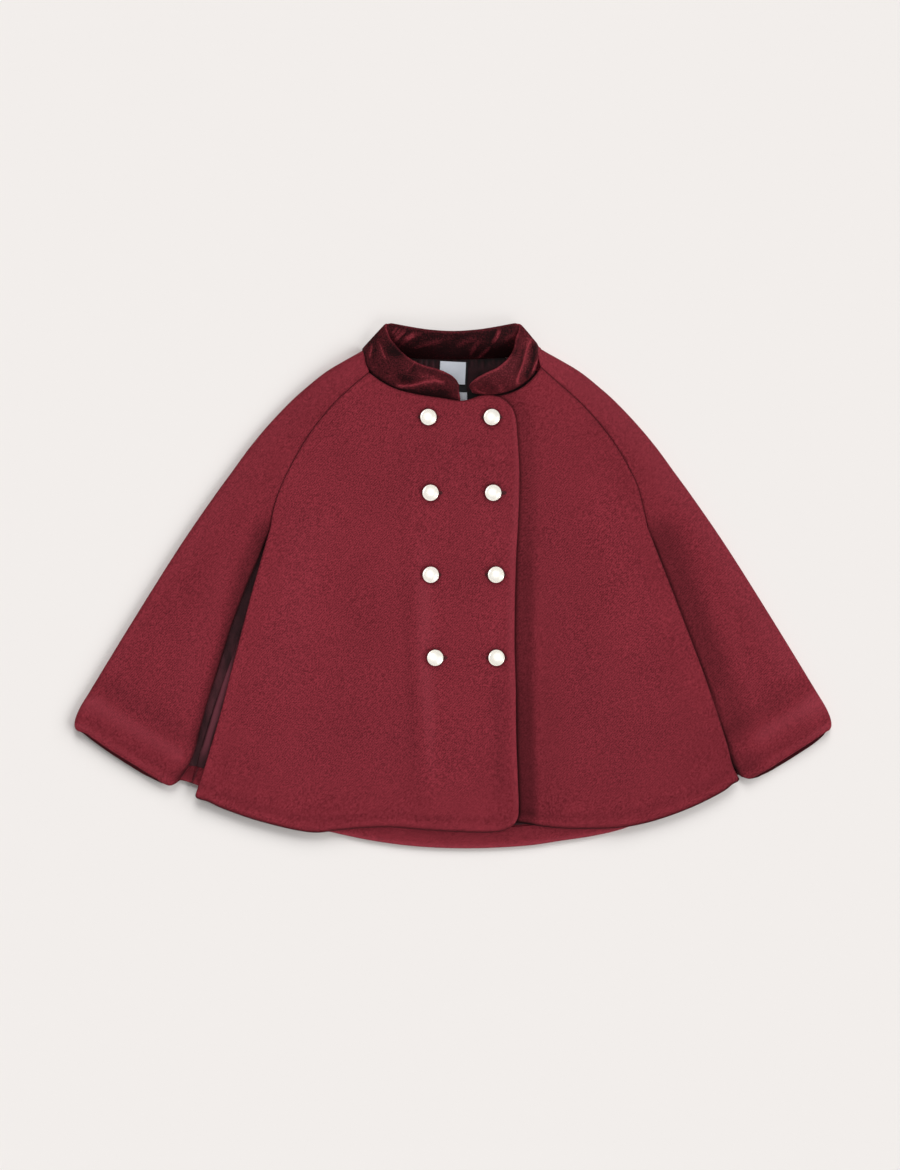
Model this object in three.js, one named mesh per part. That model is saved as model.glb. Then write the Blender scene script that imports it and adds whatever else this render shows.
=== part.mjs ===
// A child's double-breasted wool cape with a velvet stand collar, laid flat on its back.
//
// Millimetres, +Z up. The origin is on the floor under the middle of the cape, +Y points to the neck,
// and +X to the wearer's left. The back and the back halves of the side panels lie on the floor; each
// side panel turns round at its outer fold, and the two fronts lie on top, right over left.

import * as THREE from "three";

// Thicknesses and clearances of the layers.
const wool = 2.4;
const lining = 1.0;
const facing = 1.6;
const velvet = 1.4;
const ribbon = 1.0;
const seamGap = 0.4;
const layerGap = 0.3;

// Heights of the upper faces of the fronts above the floor.
const hemTop = 9.2;
const chestTop = 10.0;
const neckTop = 14.0;
const hemRise = { low: -247, high: -180 };
const neckRise = { low: 130, high: 204 };

// The right front rises over the hidden edge of the left front, and the left front sinks beside it.
const lap = { rise: 1.5, width: 17, edgeX: -41, edgeY: 51, slant: 0.064 };
const sink = { high: 1.3, low: 2.2, from: 68, to: 86, highY: 120, lowY: -20 };
const lift = { rise: 1.5, from: 30, to: 64, highY: 0, lowY: -180 };

// The outer fold of a side panel: its radius at the neck and further down, where it settles.
const fold = { neck: 6.5, body: 4.15, settled: 0.25, steps: 5 };
const sleeve = { dome: 0.8, rightEdge: 7.6, leftTuck: 4.0 };

// Distances of the edges from the centre line at levels down the cape. Above slitY the fronts are sewn
// to the side panels along a raglan seam, and below it each edge is free beside the arm slit.
const slitY = 58;
const levels = [
  { y: 200, rightFront: 100.5, rightSide: 100.5, leftFront: 108.5, leftSide: 108.5, back: 103.5 },
  { y: 180, rightFront: 121.3, rightSide: 121.3, leftFront: 130.5, leftSide: 130.5, back: 122.5 },
  { y: 155, rightFront: 141.5, rightSide: 141.5, leftFront: 152.5, leftSide: 152.5, back: 141.5 },
  { y: 130, rightFront: 157.0, rightSide: 157.0, leftFront: 169.5, leftSide: 169.5, back: 157.0 },
  { y: 100, rightFront: 172.0, rightSide: 172.0, leftFront: 184.5, leftSide: 184.5, back: 171.0 },
  { y: 75, rightFront: 180.0, rightSide: 180.0, leftFront: 191.0, leftSide: 191.0, back: 179.0 },
  { y: 58, rightFront: 182.7, rightSide: 182.7, leftFront: 194.6, leftSide: 194.6, back: 183.0 },
  { y: 30, rightFront: 191.0, rightSide: 193.0, leftFront: 205.7, leftSide: 198.0, back: 190.5 },
  { y: 0, rightFront: 199.6, rightSide: 206.0, leftFront: 217.5, leftSide: 207.0, back: 199.0 },
  { y: -40, rightFront: 210.0, rightSide: 221.0, leftFront: 232.8, leftSide: 221.0, back: 211.0 },
  { y: -80, rightFront: 220.5, rightSide: 233.5, leftFront: 248.0, leftSide: 236.0, back: 224.5 },
  { y: -120, rightFront: 230.5, rightSide: 246.5, leftFront: 262.0, leftSide: 251.0, back: 239.5 },
  { y: -160, rightFront: 242.0, rightSide: 257.0, leftFront: 275.0, leftSide: 266.0, back: 252.0 },
  { y: -180, rightFront: 248.0, rightSide: 264.5, leftFront: 280.8, leftSide: 279.0, back: 257.5 },
];
const seamTop = {
  rightFront: { x: 84, y: 213.3 },
  rightSide: { x: 84, y: 213.3 },
  leftFront: { x: 87.5, y: 218.5 },
  leftSide: { x: 87.5, y: 218.5 },
  back: { x: 64, y: 228.2 },
};
const slitEnd = {
  rightFront: { x: 256.6, y: -209.5 },
  rightSide: { x: 275, y: -196.5 },
  leftFront: { x: 284.6, y: -193.6 },
  leftSide: { x: 288, y: -190 },
  back: { x: 262, y: -197.4 },
};

// The outer fold from the neck to the hem corner, by its distance from the centre line.
const outerFold = [
  { y: 235, x: 90 },
  { y: 226, x: 107.5 },
  { y: 214, x: 127.5 },
  { y: 198, x: 147.5 },
  { y: 186, x: 161 },
  { y: 162, x: 184 },
  { y: 138, x: 204 },
  { y: 114, x: 221.5 },
  { y: 90, x: 239 },
  { y: 42, x: 272 },
  { y: -30, x: 317.5 },
  { y: -102, x: 361.5 },
  { y: -124, x: 374.6 },
  { y: -134, x: 378.2 },
  { y: -138.6, x: 378.3 },
  { y: -142.2, x: 376.8 },
];

// The free edges of the right front, from the raglan seam round the neck and down to the hem.
const rightNeck = [
  { x: -84, y: 213.3 },
  { x: -69.5, y: 203 },
  { x: -54, y: 196 },
  { x: -34.4, y: 191.3 },
  { x: -12, y: 188 },
  { x: 8, y: 185.2 },
  { x: 16, y: 186.4 },
  { x: 27, y: 190 },
  { x: 36, y: 190.8 },
  { x: 47, y: 188.5 },
  { x: 54, y: 183.8 },
  { x: 58.6, y: 178.5 },
];
const rightEdge = [
  { x: 58.6, y: 178.5 },
  { x: 62.6, y: 168 },
  { x: 64.2, y: 151 },
  { x: 66.4, y: 114 },
  { x: 65.3, y: 68 },
  { x: 63, y: 26 },
  { x: 61.5, y: -54 },
  { x: 62.7, y: -102 },
  { x: 63.2, y: -151 },
  { x: 65, y: -199 },
  { x: 65.7, y: -221 },
  { x: 64.8, y: -231 },
  { x: 61.4, y: -238 },
];
const rightHem = [
  { x: -256.6, y: -209.5 },
  { x: -249, y: -215 },
  { x: -234, y: -222 },
  { x: -198, y: -234 },
  { x: -153, y: -245 },
  { x: -136, y: -246.7 },
  { x: -118, y: -244.8 },
  { x: -95, y: -242.4 },
  { x: -64, y: -241.4 },
  { x: -29, y: -244 },
  { x: 29, y: -246.6 },
  { x: 46, y: -245.6 },
  { x: 55, y: -242.6 },
  { x: 61.4, y: -238 },
];

// The left front: its edge from the neck to the hem is hidden under the right front.
const leftNeck = [
  { x: -26, y: 166.5 },
  { x: -14, y: 174 },
  { x: 0, y: 178.6 },
  { x: 14, y: 182.5 },
  { x: 26, y: 188.2 },
  { x: 38.5, y: 190.2 },
  { x: 50, y: 191 },
  { x: 62.4, y: 195 },
  { x: 73.6, y: 201.8 },
  { x: 82.4, y: 210.6 },
  { x: 87.5, y: 218.5 },
];
const leftEdge = [
  { x: -26, y: 166.5 },
  { x: -34, y: 155 },
  { x: -39, y: 130 },
  { x: -41, y: 90 },
  { x: -41, y: 51 },
  { x: -37, y: -20 },
  { x: -32, y: -100 },
  { x: -27, y: -180 },
  { x: -24.5, y: -215 },
  { x: -20, y: -228 },
];
const leftHem = [
  { x: -20, y: -228 },
  { x: -8, y: -233.5 },
  { x: 30, y: -236 },
  { x: 66, y: -237.5 },
  { x: 97, y: -241.5 },
  { x: 121, y: -243 },
  { x: 145, y: -242.8 },
  { x: 169, y: -241.6 },
  { x: 193.6, y: -237 },
  { x: 218, y: -229.5 },
  { x: 242, y: -220 },
  { x: 266, y: -208 },
  { x: 278.5, y: -200.5 },
  { x: 284.6, y: -193.6 },
];

// The hems of the front halves of the side panels, from the slit to the outer corner.
const rightSideHem = [
  { x: 275, y: -196.5 },
  { x: 281, y: -199 },
  { x: 290, y: -197.2 },
  { x: 304, y: -189 },
  { x: 318, y: -180.4 },
  { x: 332, y: -172 },
  { x: 346, y: -163.2 },
  { x: 361, y: -152.8 },
  { x: 367, y: -148.6 },
];
const leftSideHem = [
  { x: 288, y: -190 },
  { x: 291.5, y: -192 },
  { x: 298, y: -191.8 },
  { x: 307, y: -188.2 },
  { x: 318, y: -182.6 },
  { x: 337, y: -170.2 },
  { x: 349.5, y: -162.2 },
  { x: 362, y: -154 },
  { x: 369, y: -149 },
];

// The hem of the back, and of the back halves of the side panels, whose sides have settled apart.
const backHem = [
  { x: -262, y: -197.4 },
  { x: -235, y: -208 },
  { x: -203, y: -222 },
  { x: -153, y: -238.5 },
  { x: -118, y: -247.4 },
  { x: -87, y: -254 },
  { x: -53, y: -259.2 },
  { x: -20, y: -262 },
  { x: 13, y: -262.8 },
  { x: 46, y: -262 },
  { x: 79, y: -259.6 },
  { x: 107, y: -255.4 },
  { x: 140, y: -250.4 },
  { x: 169, y: -243.6 },
  { x: 203, y: -230 },
  { x: 235, y: -214 },
  { x: 262, y: -197.4 },
];
const backSideHemRight = [
  { x: 262, y: -197.4 },
  { x: 276, y: -196.4 },
  { x: 290, y: -196.4 },
  { x: 304, y: -191 },
  { x: 318, y: -183.6 },
  { x: 332, y: -175.2 },
  { x: 346, y: -166.2 },
  { x: 361, y: -155.6 },
  { x: 370, y: -148.4 },
];
const backSideHemLeft = [
  { x: 262, y: -197.4 },
  { x: 280, y: -193.6 },
  { x: 297, y: -193.2 },
  { x: 318, y: -185.8 },
  { x: 337, y: -174.4 },
  { x: 349.5, y: -166.6 },
  { x: 362, y: -157.8 },
  { x: 371, y: -149.8 },
];
const backNeck = [
  { x: -64, y: 228.2 },
  { x: -30, y: 226.4 },
  { x: 0, y: 225.8 },
  { x: 30, y: 226.4 },
  { x: 64, y: 228.2 },
];
const hemTurn = 20;

// The collar's middle surface: its seam line and its upper edge, from the back centre to one side,
// which is the mirror of the other, and on to each front end.
const collarSide = [
  { seamX: 0, seamY: 227.4, seamZ: 2.4, topX: 0, topY: 255, topZ: 26 },
  { seamX: 30, seamY: 228, seamZ: 2.4, topX: 24, topY: 256.4, topZ: 25 },
  { seamX: 62, seamY: 229.8, seamZ: 2.4, topX: 46, topY: 259.6, topZ: 21 },
  { seamX: 78, seamY: 231.6, seamZ: 2.6, topX: 57, topY: 261.4, topZ: 18.4 },
  { seamX: 85, seamY: 234, seamZ: 3.8, topX: 62.6, topY: 262.2, topZ: 17.2 },
  { seamX: 87.4, seamY: 235.4, seamZ: 6.6, topX: 65.6, topY: 261, topZ: 17.4 },
  { seamX: 86.4, seamY: 232.6, seamZ: 10.2, topX: 66, topY: 257.6, topZ: 18.4 },
  { seamX: 84.9, seamY: 227.5, seamZ: 12.2, topX: 65, topY: 253.6, topZ: 20 },
  { seamX: 83.6, seamY: 220.6, seamZ: 12.8, topX: 62.4, topY: 247, topZ: 22 },
];
const collarRightEnd = [
  { seamX: -80.4, seamY: 212.4, seamZ: 12.8, topX: -58, topY: 241, topZ: 24 },
  { seamX: -69, seamY: 204.6, seamZ: 12.8, topX: -51.6, topY: 234, topZ: 26.5 },
  { seamX: -53.4, seamY: 197.6, seamZ: 12.8, topX: -43.4, topY: 226.8, topZ: 28.5 },
  { seamX: -34, seamY: 193, seamZ: 12.8, topX: -31.6, topY: 220.6, topZ: 30 },
  { seamX: -12, seamY: 189.8, seamZ: 12.9, topX: -17.5, topY: 216.4, topZ: 30.6 },
  { seamX: -2, seamY: 188.4, seamZ: 13, topX: -7, topY: 212.6, topZ: 30 },
  { seamX: 4.6, seamY: 187.5, seamZ: 13.2, topX: 0.4, topY: 208, topZ: 27 },
  { seamX: 7.6, seamY: 187.2, seamZ: 13.2, topX: 4.4, topY: 200.8, topZ: 22.5 },
];
const collarLeftEnd = [
  { seamX: 80.6, seamY: 212.4, seamZ: 12.6, topX: 61.4, topY: 240, topZ: 25 },
  { seamX: 72.6, seamY: 204.4, seamZ: 12.4, topX: 59, topY: 233, topZ: 28 },
  { seamX: 61.4, seamY: 197.6, seamZ: 12.2, topX: 53.6, topY: 224.4, topZ: 31 },
  { seamX: 49.6, seamY: 194, seamZ: 12, topX: 45, topY: 217, topZ: 33 },
  { seamX: 38, seamY: 193, seamZ: 11.8, topX: 34.4, topY: 211.8, topZ: 33 },
  { seamX: 29, seamY: 193.6, seamZ: 11.8, topX: 25, topY: 206.8, topZ: 30 },
  { seamX: 23, seamY: 194.8, seamZ: 12, topX: 19.6, topY: 202.4, topZ: 24.5 },
  { seamX: 20.4, seamY: 195.4, seamZ: 12.2, topX: 18.6, topY: 199.2, topZ: 18.5 },
];
const collarBulge = 3.2;

// The sewn-in labels in the back neck, bare of any print.
const labels = [
  { name: "label_size", width: 8.6, length: 20, x: 9.8, y: 192, layer: 0, turn: 0.03, colour: 0xb9bcc2 },
  { name: "label_backing", width: 29, length: 30, x: 0.2, y: 209.2, layer: 1, turn: -0.04, colour: 0x0c0a0b },
  { name: "label_neck", width: 26, length: 22.5, x: -0.4, y: 213.2, layer: 2, turn: -0.05, colour: 0xd6dae2 },
];

// Domed metal buttons. The outer column, near the front edge, fastens through buttonholes.
const button = { radius: 8.3, rim: 1.1, rimHeight: 1.5, face: 1.1, dome: 1.0, shankRadius: 1.9, shank: 1.5 };
const buttonRows = [
  { y: 168.6, innerX: -24.6, outerX: 38.7, innerLean: 0.02, outerLean: 0.03 },
  { y: 93.1, innerX: -22.4, outerX: 40.1, innerLean: -0.03, outerLean: 0.02 },
  { y: 11.2, innerX: -22.3, outerX: 43, innerLean: 0.02, outerLean: -0.02 },
  { y: -71.7, innerX: -18, outerX: 43.6, innerLean: 0.1, outerLean: -0.08 },
];

const colours = { wool: 0x7c2a35, velvet: 0x3e1116, lining: 0x40222a, metal: 0xdcc9a0 };

const { smoothstep, lerp } = THREE.MathUtils;
const point = ({ x, y }, side = 1) => new THREE.Vector3(side * x, y, 0);

// Equal steps along a smooth line through the rows of a table.
function stepsAlong(points, steps) {
  return new THREE.CatmullRomCurve3(points, false, "centripetal").getSpacedPoints(steps);
}

// The raglan seam and the free edge below it, for one column of the levels.
const seamSteps = 7;
const slitSteps = 11;
function sideLine(column, side, inset = 0) {
  const at = (rows) => rows.map((row) => new THREE.Vector3(side * (row[column] - inset), row.y, 0));
  const first = new THREE.Vector3(side * (seamTop[column].x - inset), seamTop[column].y, 0);
  const last = new THREE.Vector3(side * (slitEnd[column].x - inset), slitEnd[column].y, 0);
  const seam = stepsAlong([first, ...at(levels.filter((row) => row.y >= slitY))], seamSteps);
  const slit = stepsAlong([...at(levels.filter((row) => row.y <= slitY)), last], slitSteps);
  return [...seam, ...slit.slice(1)];
}

// Fills a four-sided panel between its sides: top and bottom run one way, left and right run down.
function fill(top, bottom, left, right) {
  const cols = top.length - 1;
  const rows = left.length - 1;
  const corner = { tl: top[0], tr: top[cols], bl: bottom[0], br: bottom[cols] };
  return left.map((_, i) =>
    top.map((_, j) => {
      const v = i / rows;
      const u = j / cols;
      const across = left[i].clone().lerp(right[i], u);
      const down = top[j].clone().lerp(bottom[j], v);
      const upper = corner.tl.clone().lerp(corner.tr, u);
      const lower = corner.bl.clone().lerp(corner.br, u);
      return across.add(down).sub(upper.lerp(lower, v));
    }),
  );
}

// Closes two grids of points, an upper and a lower one, into one wall with faces pointing out.
function wallBetween(upper, lower) {
  const rows = upper.length;
  const cols = upper[0].length;
  const points = [...upper.flat(), ...lower.flat()];
  const at = (layer, i, j) => layer * rows * cols + i * cols + j;
  const faces = [];
  const quad = (a, b, c, d) => faces.push(a, b, c, a, c, d);
  for (let i = 0; i + 1 < rows; i++) {
    for (let j = 0; j + 1 < cols; j++) {
      quad(at(0, i, j), at(0, i + 1, j), at(0, i + 1, j + 1), at(0, i, j + 1));
      quad(at(1, i, j), at(1, i, j + 1), at(1, i + 1, j + 1), at(1, i + 1, j));
    }
    quad(at(0, i + 1, 0), at(0, i, 0), at(1, i, 0), at(1, i + 1, 0));
    quad(at(0, i, cols - 1), at(0, i + 1, cols - 1), at(1, i + 1, cols - 1), at(1, i, cols - 1));
  }
  for (let j = 0; j + 1 < cols; j++) {
    quad(at(0, 0, j), at(0, 0, j + 1), at(1, 0, j + 1), at(1, 0, j));
    quad(at(0, rows - 1, j + 1), at(0, rows - 1, j), at(1, rows - 1, j), at(1, rows - 1, j + 1));
  }
  const volume = () => {
    let sum = 0;
    for (let f = 0; f < faces.length; f += 3) {
      const [a, b, c] = [points[faces[f]], points[faces[f + 1]], points[faces[f + 2]]];
      sum += a.dot(b.clone().cross(c));
    }
    return sum;
  };
  if (volume() < 0) faces.reverse();
  return new THREE.BufferGeometry().setFromPoints(points).setIndex(faces);
}

// A flat-lying sheet whose upper face has the height that topAt gives.
function sheet(grid, topAt, thickness) {
  const raise = (offset) =>
    grid.map((row) => row.map((p) => new THREE.Vector3(p.x, p.y, topAt(p) + offset)));
  return wallBetween(raise(0), raise(-thickness));
}

// Heights of the upper faces.
function loft(y) {
  const body = lerp(hemTop, chestTop, smoothstep(y, hemRise.low, hemRise.high));
  return lerp(body, neckTop, smoothstep(y, neckRise.low, neckRise.high));
}

function hiddenEdge(y) {
  return lap.edgeX + Math.max(0, lap.edgeY - y) * lap.slant;
}

function rightFrontTop({ x, y }) {
  const edge = hiddenEdge(y);
  const over = lap.rise * smoothstep(x, edge - lap.width - 1, edge - 1);
  const lifted = lift.rise * smoothstep(x, lift.from, lift.to) * (1 - smoothstep(y, lift.lowY, lift.highY));
  return loft(y) + over + lifted;
}

function leftFrontTop({ x, y }) {
  const depth = lerp(sink.low, sink.high, smoothstep(y, sink.lowY, sink.highY));
  return loft(y) - depth * (1 - smoothstep(x, sink.from, sink.to));
}

// A side panel runs from the front edge round the outer fold to the back seam.
function sidePanel(side, column, hem, backHalfHem) {
  const rows = seamSteps + slitSteps;
  const foldLine = stepsAlong(outerFold.map((row) => point(row, side)), rows);
  const radius = (i) => lerp(fold.neck, fold.body, smoothstep(i / rows, 0, fold.settled));
  const outward = foldLine.map((_, i) => {
    const run = foldLine[Math.min(i + 1, rows)].clone().sub(foldLine[Math.max(i - 1, 0)]);
    return new THREE.Vector3(side * -run.y, side * run.x, 0).normalize();
  });
  const inside = foldLine.map((p, i) => p.clone().addScaledVector(outward[i], -radius(i)));
  const frontEdge = sideLine(column, side, -seamGap / 2);
  const backEdge = sideLine("back", side, -seamGap / 2);
  const frontCols = 6;
  const backCols = 5;
  const hemLine = (start, table, cols) =>
    stepsAlong([start, ...table.slice(1).map((p) => point(p, side)), inside[rows]], cols);
  const frontHem = hemLine(frontEdge[rows], hem, frontCols);
  const rearHem = hemLine(backEdge[rows], backHalfHem, backCols);
  const front = fill(stepsAlong([frontEdge[0], inside[0]], frontCols), frontHem, frontEdge, inside);
  const rear = fill(stepsAlong([backEdge[0], inside[0]], backCols), rearHem, backEdge, inside);

  const tucked = column === "leftSide";
  const frontTop = tucked ? leftFrontTop : rightFrontTop;
  const edgeTop = frontEdge.map((p, i) => {
    const free = smoothstep(i, seamSteps - 3, seamSteps);
    return tucked ? frontTop(p) - sleeve.leftTuck * free : lerp(frontTop(p), sleeve.rightEdge, free);
  });
  const domed = (i, u) => sleeve.dome * Math.sin(Math.PI * u) * smoothstep(i, 0, 4);

  const turn = (i, height, reach) =>
    inside[i].clone().addScaledVector(outward[i], reach).setZ(height);
  const upper = [];
  const lower = [];
  for (let i = 0; i <= rows; i++) {
    const r = radius(i);
    const outerRow = [];
    const innerRow = [];
    front[i].forEach((p, j) => {
      const u = j / frontCols;
      const top = lerp(edgeTop[i], 2 * r, u) + domed(i, u);
      outerRow.push(p.clone().setZ(top));
      innerRow.push(p.clone().setZ(top - wool));
    });
    for (let k = 1; k < fold.steps; k++) {
      const angle = Math.PI * (0.5 - k / fold.steps);
      outerRow.push(turn(i, r + r * Math.sin(angle), r * Math.cos(angle)));
      innerRow.push(turn(i, r + (r - wool) * Math.sin(angle), (r - wool) * Math.cos(angle)));
    }
    for (let j = backCols; j >= 0; j--) {
      outerRow.push(rear[i][j].clone().setZ(0));
      innerRow.push(rear[i][j].clone().setZ(wool));
    }
    upper.push(outerRow);
    lower.push(innerRow);
  }
  return wallBetween(upper, lower);
}

const rightSeam = sideLine("rightFront", -1, seamGap / 2);
const leftSeam = sideLine("leftFront", 1, seamGap / 2);
const downRows = seamSteps + slitSteps;

function rightFront() {
  const cols = 14;
  const top = stepsAlong([rightSeam[0], ...rightNeck.slice(1).map((p) => point(p))], cols);
  const bottom = stepsAlong([rightSeam[downRows], ...rightHem.slice(1).map((p) => point(p))], cols);
  const edge = stepsAlong(rightEdge.map((p) => point(p)), downRows);
  return sheet(fill(top, bottom, rightSeam, edge), rightFrontTop, wool);
}

function leftFront() {
  const cols = 14;
  const top = stepsAlong([...leftNeck.slice(0, -1).map((p) => point(p)), leftSeam[0]], cols);
  const bottom = stepsAlong([...leftHem.slice(0, -1).map((p) => point(p)), leftSeam[downRows]], cols);
  const edge = stepsAlong(leftEdge.map((p) => point(p)), downRows);
  return sheet(fill(top, bottom, edge, leftSeam), leftFrontTop, wool);
}

const backCols = 20;
function back() {
  const left = sideLine("back", -1, seamGap / 2);
  const right = sideLine("back", 1, seamGap / 2);
  const neck = backNeck.slice(1, -1).map((p) => point(p));
  const hem = backHem.slice(1, -1).map((p) => point(p));
  const top = stepsAlong([left[0], ...neck, right[0]], backCols);
  const bottom = stepsAlong([left[downRows], ...hem, right[downRows]], backCols);
  return sheet(fill(top, bottom, left, right), () => wool, wool);
}

// A turned-up hem is a band beside the hem line, seen from inside.
function hemBand(hem, steps) {
  const outer = stepsAlong(hem, steps);
  const shift = (p, i, distance) => {
    const run = outer[Math.min(i + 1, steps)].clone().sub(outer[Math.max(i - 1, 0)]).normalize();
    return p.clone().add(new THREE.Vector3(-run.y, run.x, 0).multiplyScalar(distance));
  };
  const lines = [hemTurn, hemTurn / 2, layerGap].map((d) => outer.map((p, i) => shift(p, i, d)));
  return lines;
}

const liningBase = wool + layerGap;
const backBand = hemBand(
  [...backHem.map((p) => point({ x: p.x * 0.996, y: p.y }))],
  26,
);
const sideBand = hemBand(
  [...backSideHemRight].reverse().map((p) => point({ x: p.x + 1.4 * (p.x < 263), y: p.y }, -1)),
  8,
);

function backLining() {
  const rows = 12;
  const inset = 1.6;
  const sideOf = (side) => {
    const seam = sideLine("back", side, inset);
    const cut = seam.filter((p) => p.y > -170);
    const end = side < 0 ? backBand[0][0] : backBand[0][backBand[0].length - 1];
    const low = new THREE.Vector3(end.x - side * 0.8, end.y + layerGap + 0.4, 0);
    return stepsAlong([...cut, low], rows);
  };
  const left = sideOf(-1);
  const right = sideOf(1);
  const neck = backNeck.slice(1, -1).map((p) => point({ x: p.x, y: p.y - 0.6 }));
  const hem = backBand[0].slice(2, -2).map((p) => p.clone().setY(p.y + layerGap + 0.3));
  const top = stepsAlong([left[0], ...neck, right[0]], 14);
  const bottom = stepsAlong([left[rows], ...hem, right[rows]], 14);
  return sheet(fill(top, bottom, left, right), () => liningBase + lining, lining);
}

function sideLining() {
  const rows = 12;
  const foldInset = 7;
  const seam = sideLine("back", -1, -0.9).filter((p) => p.y > -168);
  const drawnIn = outerFold.slice(0, -4).map((row) => ({ x: row.x - foldInset, y: row.y - foldInset / 2 }));
  const outer = drawnIn.map((row) => point(row, -1));
  const bandTop = sideBand[0];
  const bandEnd = bandTop[bandTop.length - 1].clone().setY(bandTop[bandTop.length - 1].y + 1.8);
  const inner = stepsAlong([...seam, bandEnd], rows);
  const fall = stepsAlong([...outer, new THREE.Vector3(-350, -135, 0)], rows);
  const cols = 5;
  const top = stepsAlong([fall[0], inner[0]], cols);
  const hem = bandTop.slice(2, -2).map((p) => p.clone().setY(p.y + 1.8));
  const bottom = stepsAlong([fall[rows], ...hem, inner[rows]], cols);
  return sheet(fill(top, bottom, fall, inner), () => liningBase + lining, lining);
}

// The stand collar: two velvet layers on each side of one leaning middle surface.
function collarLayers() {
  const around = 46;
  const up = 4;
  const mirrored = collarSide.slice(1).map((row) => ({ ...row, seamX: -row.seamX, topX: -row.topX }));
  const rows = [
    ...[...collarRightEnd].reverse(),
    ...[...mirrored].reverse(),
    ...collarSide,
    ...collarLeftEnd,
  ];
  const seam = new THREE.CatmullRomCurve3(
    rows.map((row) => new THREE.Vector3(row.seamX, row.seamY, row.seamZ)), false, "centripetal");
  const top = new THREE.CatmullRomCurve3(
    rows.map((row) => new THREE.Vector3(row.topX, row.topY, row.topZ)), false, "centripetal");
  const spaced = seam.getSpacedPoints(around).map((_, i) => seam.getUtoTmapping(i / around));
  const middle = spaced.map((t) => {
    const low = seam.getPoint(t);
    const high = top.getPoint(t);
    const rowsDown = [];
    for (let k = 0; k <= up; k++) {
      const v = k / up;
      const bulge = collarBulge * Math.sin(Math.PI * v);
      rowsDown.push(low.clone().lerp(high, v).add(new THREE.Vector3(0, 0, bulge)));
    }
    return rowsDown;
  });
  const normalAt = (i, k) => {
    const along = middle[Math.min(i + 1, around)][k].clone().sub(middle[Math.max(i - 1, 0)][k]);
    const rise = middle[i][Math.min(k + 1, up)].clone().sub(middle[i][Math.max(k - 1, 0)]);
    return along.cross(rise).normalize();
  };
  const offset = (distance) =>
    middle.map((row, i) => row.map((p, k) => p.clone().addScaledVector(normalAt(i, k), distance)));
  const half = seamGap / 2;
  return {
    outer: wallBetween(offset(half + velvet), offset(half)),
    inner: wallBetween(offset(-half), offset(-half - velvet)),
  };
}

function buttonShape(shank) {
  const b = button;
  const under = shank;
  const profile = [
    [0, 0],
    [b.shankRadius, 0],
    [b.shankRadius, under],
    [b.radius * 0.86, under + 0.1],
    [b.radius, under + b.rimHeight * 0.5],
    [b.radius - b.rim * 0.4, under + b.rimHeight],
    [b.radius - b.rim, under + b.face],
    [b.radius * 0.45, under + b.face + b.dome * 0.75],
    [0, under + b.face + b.dome],
  ].map(([r, h]) => new THREE.Vector2(r, h));
  return new THREE.LatheGeometry(profile, 16).rotateX(Math.PI / 2);
}

const cape = new THREE.Group();
const finishes = {
  wool: new THREE.MeshStandardMaterial({ color: colours.wool, roughness: 0.95, metalness: 0 }),
  velvet: new THREE.MeshStandardMaterial({ color: colours.velvet, roughness: 0.8, metalness: 0 }),
  lining: new THREE.MeshStandardMaterial({ color: colours.lining, roughness: 0.45, metalness: 0 }),
  metal: new THREE.MeshStandardMaterial({ color: colours.metal, roughness: 0.3, metalness: 1 }),
};

function add(name, geometry, material) {
  const mesh = new THREE.Mesh(geometry, material);
  mesh.name = name;
  cape.add(mesh);
  return mesh;
}

add("back", back(), finishes.wool);
add("side_right", sidePanel(-1, "rightSide", rightSideHem, backSideHemRight), finishes.wool);
add("side_left", sidePanel(1, "leftSide", leftSideHem, backSideHemLeft), finishes.wool);
add("front_left", leftFront(), finishes.wool);
add("front_right", rightFront(), finishes.wool);
add("facing_back_hem", sheet(backBand, () => liningBase + facing, facing), finishes.wool);
add("facing_side_hem_right", sheet(sideBand, () => liningBase + facing, facing), finishes.wool);
add("lining_back", backLining(), finishes.lining);
add("lining_side_right", sideLining(), finishes.lining);

const collar = collarLayers();
add("collar_outer", collar.outer, finishes.velvet);
add("collar_inner", collar.inner, finishes.velvet);

for (const label of labels) {
  const shape = new THREE.BoxGeometry(label.width, label.length, ribbon);
  const material = new THREE.MeshStandardMaterial({ color: label.colour, roughness: 0.7, metalness: 0 });
  const mesh = add(label.name, shape, material);
  const base = liningBase + lining + layerGap + label.layer * (ribbon + layerGap);
  mesh.position.set(label.x, label.y, base + ribbon / 2);
  mesh.rotation.z = label.turn;
}

buttonRows.forEach((row, n) => {
  for (const column of ["inner", "outer"]) {
    const x = row[column + "X"];
    const mesh = add(`button_${column}_${n + 1}`, buttonShape(button.shank), finishes.metal);
    mesh.position.set(x, row.y, rightFrontTop({ x, y: row.y }) + layerGap);
    mesh.rotation.y = row[column + "Lean"];
  }
});

export default cape;
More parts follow.
